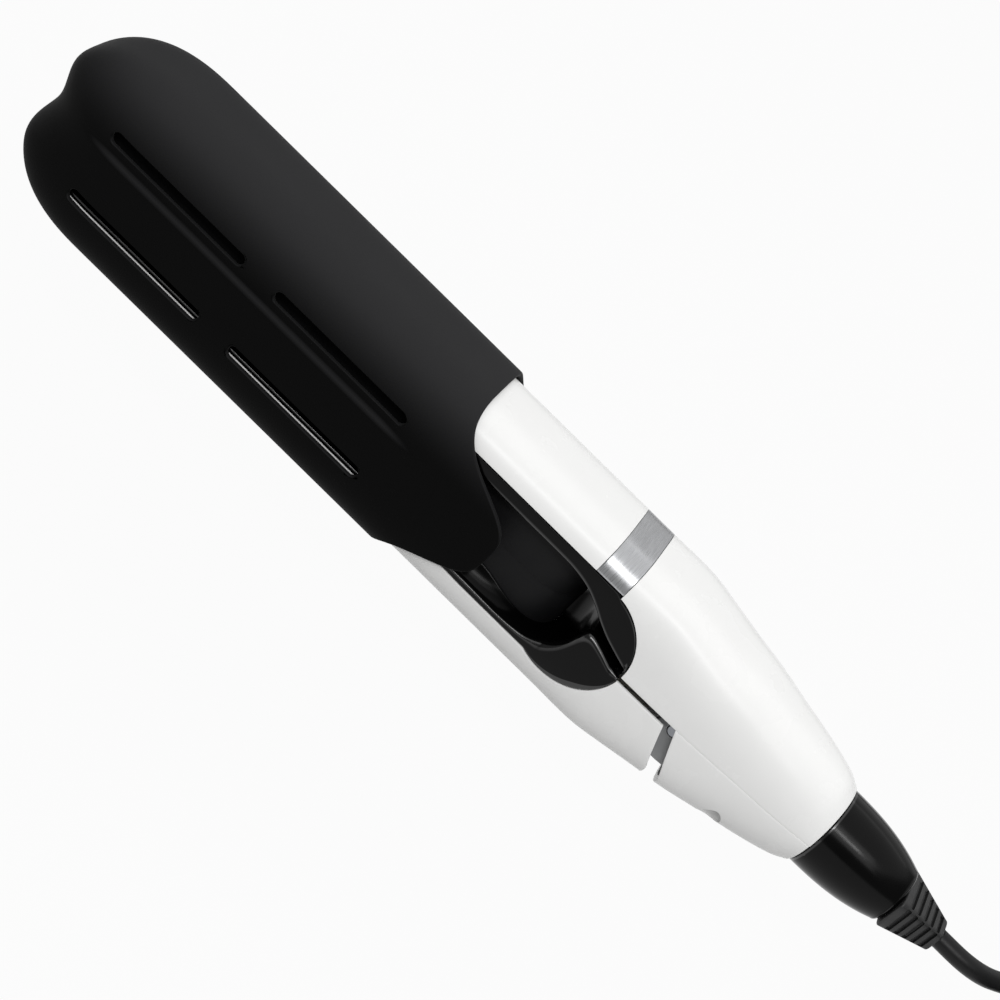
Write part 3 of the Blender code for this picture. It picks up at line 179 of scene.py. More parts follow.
def weld(piece, distance=0.000004, turn=True):  # closes seams and poles, and turns faces outwards
    pick(piece)
    bpy.ops.object.mode_set(mode="EDIT")
    bpy.ops.mesh.select_all(action="SELECT")
    bpy.ops.mesh.remove_doubles(threshold=distance)
    if turn:
        bpy.ops.mesh.normals_make_consistent(inside=False)
    bpy.ops.object.mode_set(mode="OBJECT")
    return piece


def modify(piece, kind, **settings):  # adds a modifier and applies it
    pick(piece)
    modifier = piece.modifiers.new(kind.title(), kind)
    for key, value in settings.items():
        setattr(modifier, key, value)
    bpy.ops.object.modifier_apply(modifier=modifier.name)
    return piece


def smooth(piece, angle=35):
    pick(piece)
    bpy.ops.object.shade_smooth_by_angle(angle=radians(angle))
    return piece


def soften(piece, width, angle=45, segments=3, clamp=True):  # rounds edges sharper than the angle
    return modify(piece, "BEVEL", width=width * mm, segments=segments, limit_method="ANGLE",
                  angle_limit=radians(angle), use_clamp_overlap=clamp)


def thicken(piece, wall, edge=0.25, limit=50):  # a laid sheet gets its wall inwards and soft edges
    modify(piece, "SOLIDIFY", thickness=wall * mm, offset=-1, use_even_offset=True)
    soften(piece, edge, limit)
    return smooth(piece)


def cut(piece, tool, operation="DIFFERENCE"):
    modify(piece, "BOOLEAN", operation=operation, object=tool, solver="EXACT")
    bpy.data.objects.remove(tool, do_unlink=True)
    return piece


def block(name, low, high):  # corners as places in mm
    release()
    a, b = place(*low), place(*high)
    bpy.ops.mesh.primitive_cube_add(size=1, location=(a + b) / 2, scale=b - a)
    piece = added(name)
    settle()
    return piece


def rod(name, start, axis, radius, length, sides=48):
    release()
    axis = Vector(axis)
    turn = Vector((0, 0, 1)).rotation_difference(axis).to_euler()
    bpy.ops.mesh.primitive_cylinder_add(vertices=sides, radius=radius * mm, depth=length * mm,
                                        location=place(*start) + axis * length * mm / 2, rotation=turn)
    piece = added(name)
    settle()
    return piece


def stadium(name, start, axis, radius, length, run, sides):  # a rod drawn out along x
    piece = rod(name, start, axis, radius, length, sides)
    far = place(start[0] + 0.001, 0, 0).x
    for vertex in piece.data.vertices:
        if vertex.co.x > far:
            vertex.co.x += run * mm
    return piece


def circle(sides, turn=-1, offset=0.0):  # the angles of a ring of points that closes
    return [turn * 2 * pi * (i % sides + offset) / sides for i in range(sides + 1)]


def turned(name, start, axis, profile, sides=96):  # profile of (along, radius) in mm, turned about an axis
    turn = Vector((0, 0, 1)).rotation_difference(Vector(axis)).to_matrix()
    origin = place(*start)
    return weld(sheet(name, [[origin + turn @ Vector((r * cos(angle), r * sin(angle), a)) * mm
                              for a, r in profile] for angle in circle(sides)]))


def ringed(name, rings):  # a solid through closed rings of points, with a pole at each end
    first, last = ([(ring[0] + ring[len(ring) // 2]) / 2] * len(ring) for ring in (rings[0], rings[-1]))
    return weld(sheet(name, list(zip(first, *rings, last))))


def join(name, *pieces):
    pick(pieces[0])
    for piece in pieces:
        piece.select_set(True)
    bpy.ops.object.join()
    return added(name)


def finish(piece, slot, *nodes, owner="main_body", material=None):  # nodes: those that it stands for
    piece.data.materials.clear()
    piece.data.materials.append(material or slotLooks[slot])
    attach(piece, owner)
    if nodes:
        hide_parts(*nodes)
    return piece


# Materials. A texture's scale is 1 / the size of its feature in metres.
def linear(code):  # sRGB hex to linear
    parts = [int(code[k : k + 2], 16) / 255 for k in (1, 3, 5)]
    return [c / 12.92 if c <= 0.04045 else ((c + 0.055) / 1.055) ** 2.4 for c in parts] + [1.0]


def put(tree, kind, values=(), links=(), **settings):  # a shader node with its settings, values and links
    made = tree.nodes.new("ShaderNode" + kind)
    for key, value in settings.items():
        setattr(made, key, value)
    for key, value in dict(values).items():
        made.inputs[key].default_value = value
    for key, socket in dict(links).items():
        tree.links.new(socket, made.inputs[key])
    return made


def mapped(tree, socket, start, end, low=0.0, high=1.0, **settings):  # a value moved to another range
    return put(tree, "MapRange", {"From Min": start, "From Max": end, "To Min": low, "To Max": high},
               {"Value": socket}, **settings).outputs[0]


def reckon(tree, operation, *sockets):  # a sum, a product or the like of values
    return put(tree, "Math", (), dict(enumerate(sockets)), operation=operation).outputs[0]


def axisOf(tree, vector, axis):
    return put(tree, "SeparateXYZ", (), {0: vector}).outputs[axis]


def begin(name, colour, roughness, **sockets):  # a Principled material with its fixed values
    material = bpy.data.materials.new(name)
    material.use_nodes = True
    tree = material.node_tree
    shader = tree.nodes["Principled BSDF"]
    shader.inputs["Base Color"].default_value = linear(colour)
    shader.inputs["Roughness"].default_value = roughness
    for key, value in sockets.items():
        shader.inputs[key.replace("_", " ")].default_value = value
    return material, tree, shader, put(tree, "TexCoord").outputs["Object"]


def grain(tree, shader, spot, look):
    # a coarse noise mottles colour and roughness, a fine one dents the surface
    (dark, light), (glossy, dull), (patch, pit, depth) = look["tint"], look["rough"], look["grain"]
    spread = put(tree, "Mapping", {"Scale": look.get("stretch", (1, 1, 1))}, {"Vector": spot}).outputs[0]
    coarse = put(tree, "TexNoise", {"Scale": 1 / patch, "Detail": 4.0}, {"Vector": spread}).outputs[0]
    tint = put(tree, "Mix", {6: linear(dark), 7: linear(light)}, {0: coarse}, data_type="RGBA")
    haze = mapped(tree, coarse, 0.3, 0.7, glossy, dull)
    fine = put(tree, "TexNoise", {"Scale": 1 / pit, "Detail": 3.0}, {"Vector": spread}).outputs[0]
    bump = put(tree, "Bump", {"Distance": depth}, {"Height": fine})
    tree.links.new(tint.outputs[2], shader.inputs["Base Color"])
    tree.links.new(haze, shader.inputs["Roughness"])
    tree.links.new(bump.outputs[0], shader.inputs["Normal"])


def plain(name, look, **sockets):  # a material that needs no more than its grain
    material, tree, shader, spot = begin(name, look["tint"][1], look["rough"][1], **sockets)
    grain(tree, shader, spot, look)
    return material


# gloss white ABS from a polished mould: clean highlights, a trace of flow waviness
whiteAbs = plain("White ABS, polished mould", {
    "tint": ("#e6e6e5", "#ebebea"), "rough": (0.22, 0.30), "grain": (0.012, 0.0035, 0.000006)},
    IOR=1.53, Specular_IOR_Level=0.18)
# piano-black ABS: nearly mirror sharp, with the faint haze of handling
blackAbs = plain("Piano black ABS, polished mould", {
    "tint": ("#020202", "#040404"), "rough": (0.14, 0.20), "grain": (0.009, 0.0040, 0.000004)},
    IOR=1.53, Specular_IOR_Level=0.12)
rimLook = {"curve": (0.507, 0.516), "shine": (0.12, 0.6), "floor": (0.0130, 0.0155), "dull": 0.08}


def polishRims(material, dullFloor):  # handling polishes the rounded rims, so they catch the lamps
    tree = material.node_tree
    shape = put(tree, "NewGeometry").outputs["Pointiness"]
    polish = mapped(tree, shape, *rimLook["curve"], *rimLook["shine"])
    if dullFloor:  # the floor between the rims is spark-eroded and reflects next to nothing
        spot = put(tree, "TexCoord").outputs["Object"]
        across = reckon(tree, "ABSOLUTE", axisOf(tree, spot, "Y"))
        polish = reckon(tree, "MULTIPLY", polish, mapped(tree, across, *rimLook["floor"], rimLook["dull"]))
    tree.links.new(polish, tree.nodes["Principled BSDF"].inputs["Specular IOR Level"])
    return material


dishAbs = polishRims(blackAbs.copy(), True)
dishAbs.name = "Piano black ABS, eroded floor"
polishRims(blackAbs, False)
# glass-filled nylon that stands the heat: fine spark-eroded texture, no mirror
blackNylon = plain("Black glass-filled nylon, eroded mould", {
    "tint": ("#0c0c0d", "#131314"), "rough": (0.50, 0.62), "grain": (0.0060, 0.00030, 0.000035)},
    IOR=1.54, Specular_IOR_Level=0.12)
# moulded silicone rubber: dry and matt, with a soft broad sheen; its paler upper faces are painted below
silicone = plain("Black silicone rubber, matt mould", {
    "tint": ("#060606", "#080808"), "rough": (0.60, 0.68), "grain": (0.0200, 0.00035, 0.000020)},
    IOR=1.42, Specular_IOR_Level=0.05, Sheen_Weight=0.03, Sheen_Roughness=0.40)
# the upper faces are painted paler: a painted sheen that stands in for the overhead light's grazing
# reflection, growing with height and with how far a face turns up
paintedSheenLook = {"height": (0.030, 0.0485), "colour": "#2a2a2b", "tilt": (0.1, 0.6), "most": 0.5}
tree = silicone.node_tree
height = axisOf(tree, put(tree, "TexCoord").outputs["Object"], "Z")
paintedSheenByHeight = mapped(tree, height, *paintedSheenLook["height"], interpolation_type="SMOOTHSTEP")
facing = axisOf(tree, put(tree, "NewGeometry").outputs["Normal"], "Z")
paintedSheenByFacing = mapped(tree, facing, *paintedSheenLook["tilt"], 0.0, paintedSheenLook["most"])
both = reckon(tree, "MAXIMUM", paintedSheenByHeight, paintedSheenByFacing)
colour = tree.nodes["Principled BSDF"].inputs["Base Color"]
under = colour.links[0].from_socket
pale = put(tree, "Mix", {7: linear(paintedSheenLook["colour"])}, {0: both, 6: under}, data_type="RGBA")
tree.links.new(pale.outputs[2], colour)
# PVC cord jacket, extruded: softer gloss with die lines too fine to read singly
cordPvc = plain("Black PVC, extruded", {
    "tint": ("#0a0a0a", "#111112"), "rough": (0.34, 0.46), "grain": (0.0060, 0.0005, 0.000020)},
    IOR=1.52, Specular_IOR_Level=0.2)
# the relief is the same PVC from a dull mould: it catches a broad pale sheen on its side faces
reliefPvc = plain("Black PVC, dull mould", {
    "tint": ("#0a0a0a", "#131314"), "rough": (0.44, 0.56), "grain": (0.0040, 0.0004, 0.000020)},
    IOR=1.52, Specular_IOR_Level=0.5)
# stamped and brushed trim: long hairlines round the band stretch the highlight
brushedTrim = plain("Aluminium trim, brushed round the band", {
    "tint": ("#9a9b9d", "#bfc0c2"), "rough": (0.24, 0.34), "grain": (0.0040, 0.0010, 0.000010),
    "stretch": (18, 0.7, 0.7)}, Metallic=0.9, Anisotropic=0.4)
# turned and nickel-plated brass blades and small steel parts: satin, faint tool lines
satinNickel = plain("Nickel-plated brass, satin", {
    "tint": ("#b4b2ac", "#cfcdc8"), "rough": (0.20, 0.32), "grain": (0.0025, 0.0004, 0.000006),
    "stretch": (1, 6, 1)}, Metallic=1.0)
# inner parts
springSteel = plain("Spring steel, drawn and blued", {
    "tint": ("#6f7277", "#9a9ca0"), "rough": (0.24, 0.38), "grain": (0.0030, 0.0003, 0.000006)},
    Metallic=1.0)
plateCeramic = plain("Ceramic glaze on aluminium, fired", {
    "tint": ("#303236", "#4a4c52"), "rough": (0.16, 0.26), "grain": (0.0009, 0.0006, 0.000004)},
    IOR=1.60, Coat_Weight=0.3)
heaterFilm = plain("Polyimide film over foil", {
    "tint": ("#8a4a12", "#b8701f"), "rough": (0.22, 0.40), "grain": (0.0050, 0.0020, 0.000040)}, IOR=1.66)
boardLaminate = plain("Glass-epoxy laminate, green mask", {
    "tint": ("#0b3d20", "#145a31"), "rough": (0.28, 0.42), "grain": (0.0016, 0.0006, 0.000010)}, IOR=1.55)
greyPp = plain("Grey polypropylene, moulded", {
    "tint": ("#8b8c8d", "#9c9d9e"), "rough": (0.42, 0.56), "grain": (0.0060, 0.0006, 0.000015)}, IOR=1.49)
lensPc = plain("Red polycarbonate, clear", {
    "tint": ("#b01810", "#d22a1c"), "rough": (0.06, 0.12), "grain": (0.0020, 0.0010, 0.000004)},
    IOR=1.58, Transmission_Weight=0.55)
glassSleeve = plain("Glass-fibre sleeve, braided", {
    "tint": ("#b9b6a8", "#dedbd0"), "rough": (0.60, 0.80), "grain": (0.0010, 0.0004, 0.000060),
    "stretch": (0.5, 2, 2)})
# hook-and-loop strap: woven nylon, dull, with its threads standing up
strapWeave = plain("Black nylon hook-and-loop tape", {
    "tint": ("#0f0f10", "#1d1d1f"), "rough": (0.70, 0.88), "grain": (0.0008, 0.0005, 0.00012)},
    Sheen_Weight=0.15)
slotLooks = {
    "white_gloss_plastic": whiteAbs, "black_gloss_plastic": blackAbs, "black_matt_plastic": blackNylon,
    "black_silicone": silicone, "black_cord_rubber": cordPvc, "grey_plastic": greyPp,
    "satin_metal": satinNickel, "spring_steel": springSteel, "plate_ceramic": plateCeramic,
    "heater_foil": heaterFilm, "board_laminate": boardLaminate, "lens_plastic": lensPc,
    "lead_sleeve": glassSleeve,
}
print("materials made", len(slotLooks) + 4)

# Camera, as the photograph was framed: from the near side, 30 degrees up, rolled by 45
cameraLook = {"target": (-0.00135, 0.0, 0.0241), "slide": 0.00118, "distance": 0.552,
              "azimuth": -1.0, "elevation": 30.0, "lens": 84.456}
azimuth, elevation = radians(cameraLook["azimuth"]), radians(cameraLook["elevation"])
back = Vector((sin(azimuth) * cos(elevation), -cos(azimuth) * cos(elevation), sin(elevation)))
level = Vector((cos(azimuth), sin(azimuth), 0))
upright = back.cross(level)
right, up = (level + upright) / sqrt(2), (upright - level) / sqrt(2)
middle = Vector(cameraLook["target"]) + upright * cameraLook["slide"]
bpy.ops.object.camera_add()
camera = bpy.context.object
camera.name = "photoCamera"
camera.matrix_world = Matrix.Translation(middle + back * cameraLook["distance"]) @ Matrix(
    (right, up, back)).transposed().to_4x4()
camera.data.lens = cameraLook["lens"]
camera.data.sensor_width = 36.0
camera.data.clip_start = 0.01
bpy.context.scene.camera = camera

# Mains cord: out of the relief, an S bend, then wound down in a hank, and on to the plug
cordLook = {
    "diameter": 5.0, "start": (289.6, 0.0, 0.0), "straight": 5.0, "bend": 20.0, "turn": 0.705,
    "hankX": 195.5, "run": 80.0, "fold": 15.0, "side": 6.4, "layer": 6.2, "layers": 4, "dip": 4.5,
    "loop": 24, "runSteps": 4, "endStraight": 3.0, "endBend": 34.0, "endSteps": 12, "plugY": 10.0,
    "tieWidth": 8.0, "tieWall": 0.8, "clear": 0.3,
}


def hankRoute():  # one unbroken cord, from the top layer's outer turn down to the lowest layer, in mm
    look = cordLook
    bottom = look["tieWall"] + look["clear"] + look["diameter"] / 2
    runShare = look["runSteps"] / look["loop"]
    arcShare = 0.5 - runShare

    def base(share, offset):
        share %= 1
        radius = look["fold"] + offset
        for side in (1, -1):
            if share < runShare:
                along = share / runShare
                dip = look["dip"] * sin(pi * along) ** 2
                return look["run"] * (along if side > 0 else 1 - along), side * (radius - dip)
            share -= runShare
            if share < arcShare:
                angle = pi * share / arcShare
                return ((look["run"] if side > 0 else 0) + side * radius * sin(angle),
                        side * radius * cos(angle))
            share -= arcShare
        return 0.0, radius

    count = (look["layers"] * 3 // 2 - 1) * look["loop"] + look["runSteps"]
    points = []
    for step in range(count + 1):
        turn = step / look["loop"]
        cycle, within = divmod(turn, 1.5)
        wound = min(within, 1)
        offset = look["side"] * (wound if cycle % 2 else 1 - wound)
        climb = max(within - 1, 0) / 0.5
        z = bottom + look["layer"] * (look["layers"] - 1 - cycle - ease(climb))
        x, y = base(turn - 0.000001 if step == count else turn, offset)
        points.append((look["hankX"] + look["diameter"] + x, y, z))
    points.insert(0, (look["hankX"], points[0][1], points[0][2]))
    last = points[-1]
    for step in range(look["endSteps"] + 1):
        share = step / look["endSteps"]
        points.append((last[0] + look["endStraight"] + look["endBend"] * share,
                       blend(last[1], look["plugY"], ease(share)), last[2]))
    points.append((points[-1][0] + look["diameter"], points[-1][1], points[-1][2]))
    return points


def leadRoute(meet):  # from the relief to the hank's first point, in mm
    look = cordLook
    startX, topZ = look["start"][0] + body["guardTip"], look["start"][2] + body["axisHeight"]
    across = look["bend"] * (1 - cos(look["turn"]))
    along = look["bend"] * sin(look["turn"])
    bendStart = startX + look["straight"]
    bendEnd = bendStart + 2 * along + (meet[1] - 2 * across) / tan(look["turn"])
    points = [(startX, 0.0), (bendStart, 0.0)]
    arc = [(look["bend"] * sin(angle), look["bend"] * (1 - cos(angle)))
           for angle in (look["turn"] * k / 6 for k in range(1, 7))]
    points += [(bendStart + x, y) for x, y in arc]
    points += [(bendEnd - x, meet[1] - y) for x, y in reversed(arc)]
    points += [(bendEnd, meet[1]), (meet[0], meet[1])]
    route = []
    for x, y in points:
        route.append((x, y, blend(topZ, meet[2], ease((x - bendStart) / (meet[0] - bendStart)))))
    return [tuple(p) for p in evenly(curved(route, 6), 25)]


hank = hankRoute()
lead = leadRoute(hank[0])
route = [Vector(p) * mm for p in lead[:-1] + hank]
bpy.ops.curve.primitive_bezier_curve_add()
cord = added("mainsCord")
spline = cord.data.splines[0]
spline.bezier_points.add(len(route) - len(spline.bezier_points))
for knot, point in zip(spline.bezier_points, route):
    knot.co = point
    knot.handle_left_type = knot.handle_right_type = "AUTO"
cord.data.resolution_u = cord.data.render_resolution_u = 4
cord.data.bevel_depth = cordLook["diameter"] / 2 * mm
cord.data.bevel_resolution = 8
cord.data.use_fill_caps = True
finish(cord, "black_cord_rubber", "cord_lead", "cord_hank")

# Strap round the hank's waist: a closed hook-and-loop band
strapLook = {"half": cordLook["fold"] + cordLook["side"] - cordLook["dip"] + cordLook["diameter"] / 2
             + cordLook["clear"],
             "low": cordLook["tieWall"],
             "top": cordLook["tieWall"] + cordLook["layer"] * (cordLook["layers"] - 1)
             + cordLook["diameter"] + 2 * cordLook["clear"],
             "corner": 2.2, "cornerSteps": 8, "around": 144, "across": 12, "edge": 0.25, "thinner": 0.02}
strapX = cordLook["hankX"] + cordLook["diameter"] + cordLook["run"] / 2 - cordLook["tieWidth"] / 2


def strapPath(grow):
    half, low, high = strapLook["half"] + grow, strapLook["low"] - grow, strapLook["top"] + grow
    r = strapLook["corner"] + grow
    line = []
    for sideY, sideZ, first in ((1, 1, 0), (-1, 1, 90), (-1, -1, 180), (1, -1, 270)):
        for k in range(strapLook["cornerSteps"] + 1):
            angle = radians(first + 90 * k / strapLook["cornerSteps"])
            line.append((sideY * (half - r) + r * cos(angle),
                         (high - r if sideZ > 0 else low + r) + r * sin(angle)))
    return evenly([*line, line[0]], strapLook["around"] + 1)


table = []
for y, z in strapPath(cordLook["tieWall"]):
    table.append([Vector((strapX + cordLook["tieWidth"] * (1 - j / strapLook["across"]), y, z)) * mm
                  for j in range(strapLook["across"] + 1)])
strap = weld(sheet("hankStrap", table))
thicken(strap, cordLook["tieWall"] - strapLook["thinner"], strapLook["edge"], 60)

# Plug: moulded two-blade body with finger ribs, and stamped blades
plugLook = {
    "length": 28.0, "width": 25.0, "height": 12.5, "tail": 9.5, "square": 4.5, "ribs": 5,
    "ribDepth": 0.55, "ribPitch": 2.4, "ribStart": 7.0, "ribWidthShare": 0.75, "sides": 96,
    "tailRounding": (0.05, 0.08), "faceRounding": (0.97, 0.06),
    "shape": ((0, 0, 0), (0.2, 0.04, 0.10), (0.4, 0.22, 0.35), (0.6, 0.66, 0.72), (0.78, 0.96, 0.95),
              (0.92, 1, 1), (1, 0.96, 0.95)),
}
bladeLook = {"spacing": 12.7, "wall": 1.5, "height": 6.3, "length": 17.0, "root": 3.0, "edge": 0.35,
             "hole": 1.5, "setback": 4.3}
plugX = hank[-1][0] + cordLook["clear"]
plugZ = plugLook["height"] / 2
tailShare, tailLess = plugLook["tailRounding"]
faceShare, faceLess = plugLook["faceRounding"]
rings = []
for share in (0.0, 0.02, *np.linspace(tailShare, faceShare, 93), 0.985, 0.996, 1.0):
    wide, thick = reading(plugLook["shape"], share, 1), reading(plugLook["shape"], share, 2)
    halfW = blend(plugLook["tail"], plugLook["width"], wide) / 2
    halfH = blend(plugLook["tail"], plugLook["height"], thick) / 2
    power = blend(2, plugLook["square"], thick)
    along = share * plugLook["length"]
    shrink = 0.0
    if faceShare < share < 1:
        shrink = ((share - faceShare) / (1 - faceShare)) ** 2 * faceLess
    if 0 < share < tailShare:
        shrink = tailLess * (1 - share / tailShare)
    rib = (along - plugLook["ribStart"]) / plugLook["ribPitch"]
    ribbed = shrink == 0 and 0 < rib < plugLook["ribs"]
    rings.append([])
    for angle in circle(plugLook["sides"]):
        y, z = rounded(angle, halfW * (1 - shrink), halfH * (1 - shrink), power)
        if ribbed and abs(cos(angle)) > plugLook["ribWidthShare"]:
            y *= 1 - plugLook["ribDepth"] / halfW * (0.5 - 0.5 * cos(2 * pi * rib))
        rings[-1].append(Vector((plugX + along, cordLook["plugY"] + y, plugZ + z)) * mm)
plug = smooth(ringed("plugBody", rings), 50)
faceX = plugX + plugLook["length"]
halfBlade = Vector((0, bladeLook["wall"] / 2, bladeLook["height"] / 2))
for letter, side in (("a", -1), ("b", 1)):
    middle = Vector((faceX, cordLook["plugY"] + side * bladeLook["spacing"] / 2, plugZ))
    middle -= Vector((body["guardTip"], 0, body["axisHeight"]))
    low = middle - halfBlade - Vector((bladeLook["root"], 0, 0))
    high = middle + halfBlade + Vector((bladeLook["length"], 0, 0))
    blade = block("plugBlade" + letter.upper(), low, high)
    soften(blade, bladeLook["edge"])
    cut(blade, rod("bladeHole", (high[0] - bladeLook["setback"], low[1] - 2, middle[2]), (0, 1, 0),
                   bladeLook["hole"], 6))
    smooth(blade, 30)
    finish(blade, "satin_metal", "plug_blade_" + letter)
finish(plug, "black_cord_rubber", "plug_body")
finish(strap, "black_cord_rubber", "cord_tie", material=strapWeave)
print("plug and strap made")

# White outer shells: each is laid over the body's outside and thickened inwards
shellLook = {"upperEdge": 15.2, "upperEnd": 169.7, "lowerTip": 11.8, "lowerEdge": 13.2,
             "taper": (118.0, 150.0), "seam": 0.03, "rows": 72, "edge": 0.22, "start": 0.05,
             "armWall": 0.8, "armEnd": (206.3, 211.3), "slantFrom": 191.5,
             "tailFront": (208.9, 215.3), "slant": 15.0, "top": 1.6}
ringLook = {"ends": (169.8, 178.2), "wall": 1.2, "edge": 0.15}
buttonLook = {"x": 200.3, "z": 10.8, "radius": 3.4, "lip": 0.7, "flange": 4.4, "hole": 3.7}
lensLook = {"x": 209.3, "z": 10.8, "depth": 3.4, "hole": 1.6}
drill = {"before": 4, "length": 9}
seam = shellLook["seam"]


def noseX(z):  # where the nose has a half height of z
    fade = abs(z) / body["halfHeight"]
    return body["armTip"] + body["noseLength"] * (
        1 - (1 - fade ** body["nosePower"]) ** (1 / body["nosePower"]))


def armPlaces(start, end, nosePlaces, places):  # places along an arm, close together at its tip
    nose = [blend(start, noseEnd, (k / nosePlaces) ** 2) for k in range(nosePlaces)]
    return nose + list(np.linspace(noseEnd, end, places))


def onDisc(radius, angle, side=1):  # a place on the round hinge zone, above or below the middle
    return body["discX"] + radius * cos(angle), side * radius * sin(angle)


def roundDisc(radius, startX, last, count, side=1):  # places from startX round to the last angle
    first = acos((startX - body["discX"]) / radius)
    return [onDisc(radius, angle, side) for angle in np.linspace(first, last, count)]


def meetDisc(radius, edge):  # where the arm's edge meets the round zone
    return body["discX"] - sqrt(radius**2 - edge**2)


def shell(name, stops, side=1, shift=None, wall=body["wall"], soft=shellLook["edge"]):
    # columns over (+1) or under (-1) the body at each (x, edge), with a wall inwards
    table = []
    for x, edge in stops:
        ys, zs = overTop(x, edge, shellLook["rows"] + 1)
        column = []
        for y, z in zip(ys * side, zs * side):
            moved = x + (shift(x, z) if shift else 0.0)
            if moved != x:
                halfNow, tallNow, _ = section(moved)
                halfWas, tallWas, _ = section(x)
                y, z = y * halfNow / halfWas, z * tallNow / tallWas
            column.append(place(moved, y, z))
        table.append(column)
    return thicken(sheet(name, table), wall, soft)


start = noseX(shellLook["upperEdge"]) + shellLook["start"]
stops = [(x, shellLook["upperEdge"]) for x in armPlaces(start, shellLook["upperEnd"], 30, 36)]
upperShell = shell("upperShell", stops)
finish(upperShell, "white_gloss_plastic", "upper_outer_shell")

stops = [(x, shellLook["upperEdge"]) for x in np.linspace(*ringLook["ends"], 15)]
trimRing = shell("trimRing", stops, wall=ringLook["wall"], soft=ringLook["edge"])
finish(trimRing, "satin_metal", "accent_ring", material=brushedTrim)

stops = roundDisc(body["disc"], body["tailStart"], asin(seam / body["disc"]), 36)
stops += [(x, seam) for x in np.linspace(stops[-1][0], tailEnd, 64)[1:]]
tailTop = shell("tailTop", stops)
for look, sides in ((buttonLook, 64), (lensLook, 40)):
    look["y"] = sideAt(look["x"], look["z"])
    cut(tailTop, rod("drill", (look["x"], look["y"] - drill["before"], look["z"]), (0, 1, 0),
                     look["hole"], drill["length"], sides))
smooth(tailTop)
finish(tailTop, "white_gloss_plastic", "tail_upper_shell")

meetX = meetDisc(body["disc"], shellLook["lowerEdge"])
start = noseX(shellLook["lowerTip"]) + shellLook["start"]
stops = [(x, np.interp(x, shellLook["taper"], (-shellLook["lowerTip"], -shellLook["lowerEdge"])))
         for x in armPlaces(start, meetX, 30, 40)]
stops += roundDisc(body["disc"], meetX, asin(shellLook["top"] / body["disc"]), 48, -1)[1:]
stops += [(x, -shellLook["top"]) for x in np.linspace(stops[-1][0], shellLook["armEnd"][0], 18)[1:]]


def slanted(z, top):  # 0 at the seam to 1 where the slanted end is straight again
    return within((-z - top) / (shellLook["slant"] - top))


def armEndShift(x, z):  # the rear end slants back below the seam
    high, low = shellLook["armEnd"]
    share = within((x - shellLook["slantFrom"]) / (high - shellLook["slantFrom"]))
    return (low - high) * slanted(z, shellLook["top"]) * share


def tailFrontShift(x, z):  # the tail's lower front end slants alike
    high, low = shellLook["tailFront"]
    return (low - high) * slanted(z, seam) * (tailEnd - x) / (tailEnd - high)


stops = [(x, -z) for x, z in stops]
lowerShell = shell("lowerShell", stops, -1, armEndShift, shellLook["armWall"])
finish(lowerShell, "white_gloss_plastic", "lower_outer_shell", owner="lower_arm")

stops = [(x, seam) for x in np.linspace(shellLook["tailFront"][0], tailEnd, 64)]
tailUnder = shell("tailUnder", stops, -1, tailFrontShift)


def core(name, x0, x1, inset):  # a closed solid inside the body
    return ringed(name, [[place(x, *rounded(angle, *section(x, inset))) for angle in circle(96, 1)]
                         for x in np.linspace(x0, x1, 40)])


screwLook = {"x": 230.1, "y": 10.5, "low": -24.0, "recess": 2.9, "sleeve": 4.1, "floor": -6.5,
             "seat": 1.4, "hole": 1.2, "drill": 30, "inside": (200, 249, 0.8)}
recessDepth = screwLook["floor"] - screwLook["low"]
for side in (-1, 1):
    spot = (screwLook["x"], side * screwLook["y"], screwLook["low"])
    sleeve = rod("screwSleeve", spot, (0, 0, 1), screwLook["sleeve"], recessDepth + screwLook["seat"])
    cut(sleeve, core("sleeveLimit", *screwLook["inside"]), "INTERSECT")
    cut(tailUnder, sleeve, "UNION")
    cut(tailUnder, rod("recess", spot, (0, 0, 1), screwLook["recess"], recessDepth))
    cut(tailUnder, rod("screwHole", spot, (0, 0, 1), screwLook["hole"], screwLook["drill"]))
smooth(tailUnder)
finish(tailUnder, "white_gloss_plastic", "tail_lower_shell")
print("white shells made")

# Black inner shells: a side band, a rounded rim, and a floor that runs in to the plate frame
innerLook = {
    "frameHalf": 12.3, "frameEnds": (21.5, 160.7), "disc": 14.2, "rims": {1: 1.2, -1: 2.4}, "wall": 1.5,
    "rimHeight": 11.5, "upperTop": 14.9, "upperTips": (4.3, 6.75), "upperStart": 150.0,
    "step": (0.7, 0.35), "start": 0.1,
    "lowerRimTip": 10.4, "lowerEdge": 12.9, "lowerTaper": (118.0, 160.3), "lowerTurn": 0.10,
    "upperRim": ((160.3, 11.5), (165.98, 11.30), (171.06, 10.30), (175.55, 8.29),
                 (179.03, 6.19), (182.66, 4.39), (187.0, 2.80), (191.05, 1.45)),
    "lowerRim": ((160.3, -11.5), (165.4, -11.19), (170.04, -10.3), (173.96, -8.0), (176.57, -4.5),
                 (177.8, -0.51), (178.74, 2.0), (180.48, 2.61), (183.96, 1.6), (188.02, 0.0),
                 (191.05, -0.85)),
    "riseAt": (120, 152, 164, 171), "rise": (3.6, 4.2, 1.8, 0.0), "risePower": 1.6,
    "floorSteps": 24, "turnSteps": 8, "bandSteps": 16, "edge": 0.12, "leastFloor": 0.3,
    "filletOfFloor": 0.4, "filletOfBand": 0.45,
}


def frameHalfAt(x):  # half width of the stadium that the plate frame fills
    low, high = innerLook["frameEnds"]
    off = max(low - x, x - high, 0)
    return sqrt(max(innerLook["frameHalf"] ** 2 - off**2, 0))


